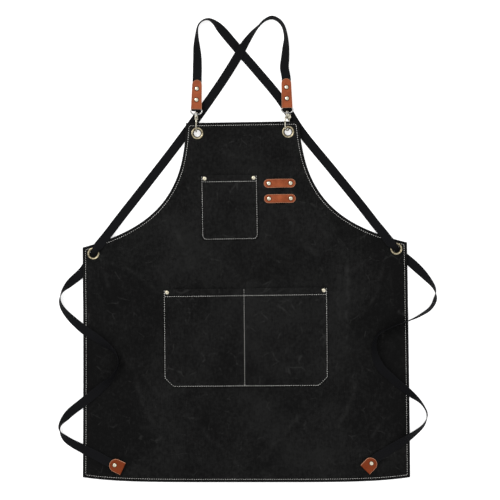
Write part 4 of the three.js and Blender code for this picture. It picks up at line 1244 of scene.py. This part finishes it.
def addHook(side):
    # the bow stays with its tab, and the casting and its gate are turned about the long axis
    place = hookPlace(side)
    turn = turnAbout("y", hook["turn"][side])
    still = lambda points: points + place
    swung = lambda points: points @ turn.T + place
    collarTop = hook["collarLong"] / 2 - hook["drop"]
    collarLow = collarTop - hook["collarLong"]
    ring = np.array([[2.9, -hook["drop"]], [7, -8.6], [10.2, -6], [11.9, -2.8], [11.4, -0.8],
                     [10.1, 0], [0, 0]])
    bowLine, _ = smoothLine(np.pad(np.concatenate([ring, ring[-2::-1] * [-1, 1]]), ((0, 0), (0, 1))), 90)
    collar = spun([[hook["bore"], collarLow], [hook["collar"], collarLow], [hook["collar"], collarTop],
                   [hook["bore"], collarTop], [hook["bore"], collarLow]])
    bow = together([swept(bowLine, hook["wire"], 20), collar])
    melted(metalPiece(f"{side}_hook_ring", bow, nickel, f"{side}_hook_bow", still))

    hubTop = collarLow - gap
    stud = spun([[0, hubTop - 5.5], [2.2, hubTop - 5.5], [hook["hub"], hubTop - 3.5], [hook["hub"], hubTop],
                 [hook["stud"], hubTop], [hook["stud"], collarTop + gap], [hook["head"], collarTop + gap],
                 [hook["head"], collarTop + gap + 1.2], [hook["stud"], collarTop + gap + 1.9],
                 [0, collarTop + gap + 1.9]])
    turnY = hook["bend"] - (tabShape["above"] - hook["intoHole"])
    swing = np.linspace(0, math.pi, 9)
    curve = [[hubTop - 3.5, 0], [hubTop - 5.5, 2.6], [hubTop - 8, 5.4], [hubTop - 12, hook["bend"]],
             *np.stack([turnY - hook["bend"] * np.sin(swing), hook["bend"] * np.cos(swing)], 1).tolist(),
             [turnY + 3.4, -hook["bend"]]]
    line, placed = smoothLine(np.pad(curve, ((0, 0), (1, 0))), 110)
    taper = np.interp(placed / (len(curve) - 1), [0, 0.12, 0.35, 0.8, 0.97, 1],
                      [2.2, 1.9, 1.5, 1.45, 1.4, 1.25])
    ears = [blockOf([1.1, 8.4, 7.6], [face * 2.7, gate["y"] + 2.7, gate["z"] + 2.3]) for face in (-1, 1)]
    bridge = blockOf([6.5, 3, 4.4], [0, gate["y"] + 5.4, gate["z"] + 3.9])
    casting = together([stud, swept(line, taper, 20), *ears, bridge])
    melted(metalPiece(f"{side}_hook_casting", casting, hookBrassWithHighlight, f"{side}_hook_body", swung, f"{side}_hook"))

    boss = crossways(gate["boss"], -1.9, 0.3)
    lowY = turnY + 3.4 + gap
    bar = swept([[0, y, gate["z"]] for y in np.linspace(lowY, gate["y"], 12)], 1.2, 16)
    thumb = turned(domed(1.3, -1.3, 2.6, 1.2), 20)
    thumb = (thumb[0] + [-0.8, gate["y"] + 1.7, gate["z"] - 1.8], thumb[1])
    lever = metalPiece(f"{side}_gate_lever", together([boss, bar, thumb]), hookBrassWithHighlight, f"{side}_gate",
                       swung, f"{side}_gate")
    melted(lever, 0.16, 3)
    metalPiece(f"{side}_gate_pivot", crossways(gate["pin"], -3.6, 3.6), paleBrass, f"{side}_gate_pin",
               swung, f"{side}_hook")
    s = np.linspace(0, 1, 80)
    coil = np.stack([0.65 + 1.04 * s, gate["y"] + 1.5 * np.sin(3 * math.pi * s),
                     gate["z"] + 1.5 * np.cos(3 * math.pi * s)], 1)
    metalPiece(f"{side}_gate_coil", swept(coil, 0.22, 10), nickel, f"{side}_gate_spring",
               swung, f"{side}_hook")


for side in ("left", "right"):
    addHook(side)
print("hooks")

for side, (strap, middle, length) in straps.items():
    leaves = toFrame(onTab(side, [[0, tabShape["high"], runFront]]))[0]
    round(length * mm, 3)

for name, pocket in pockets.items():
    stitchPieces[name + "_back"]
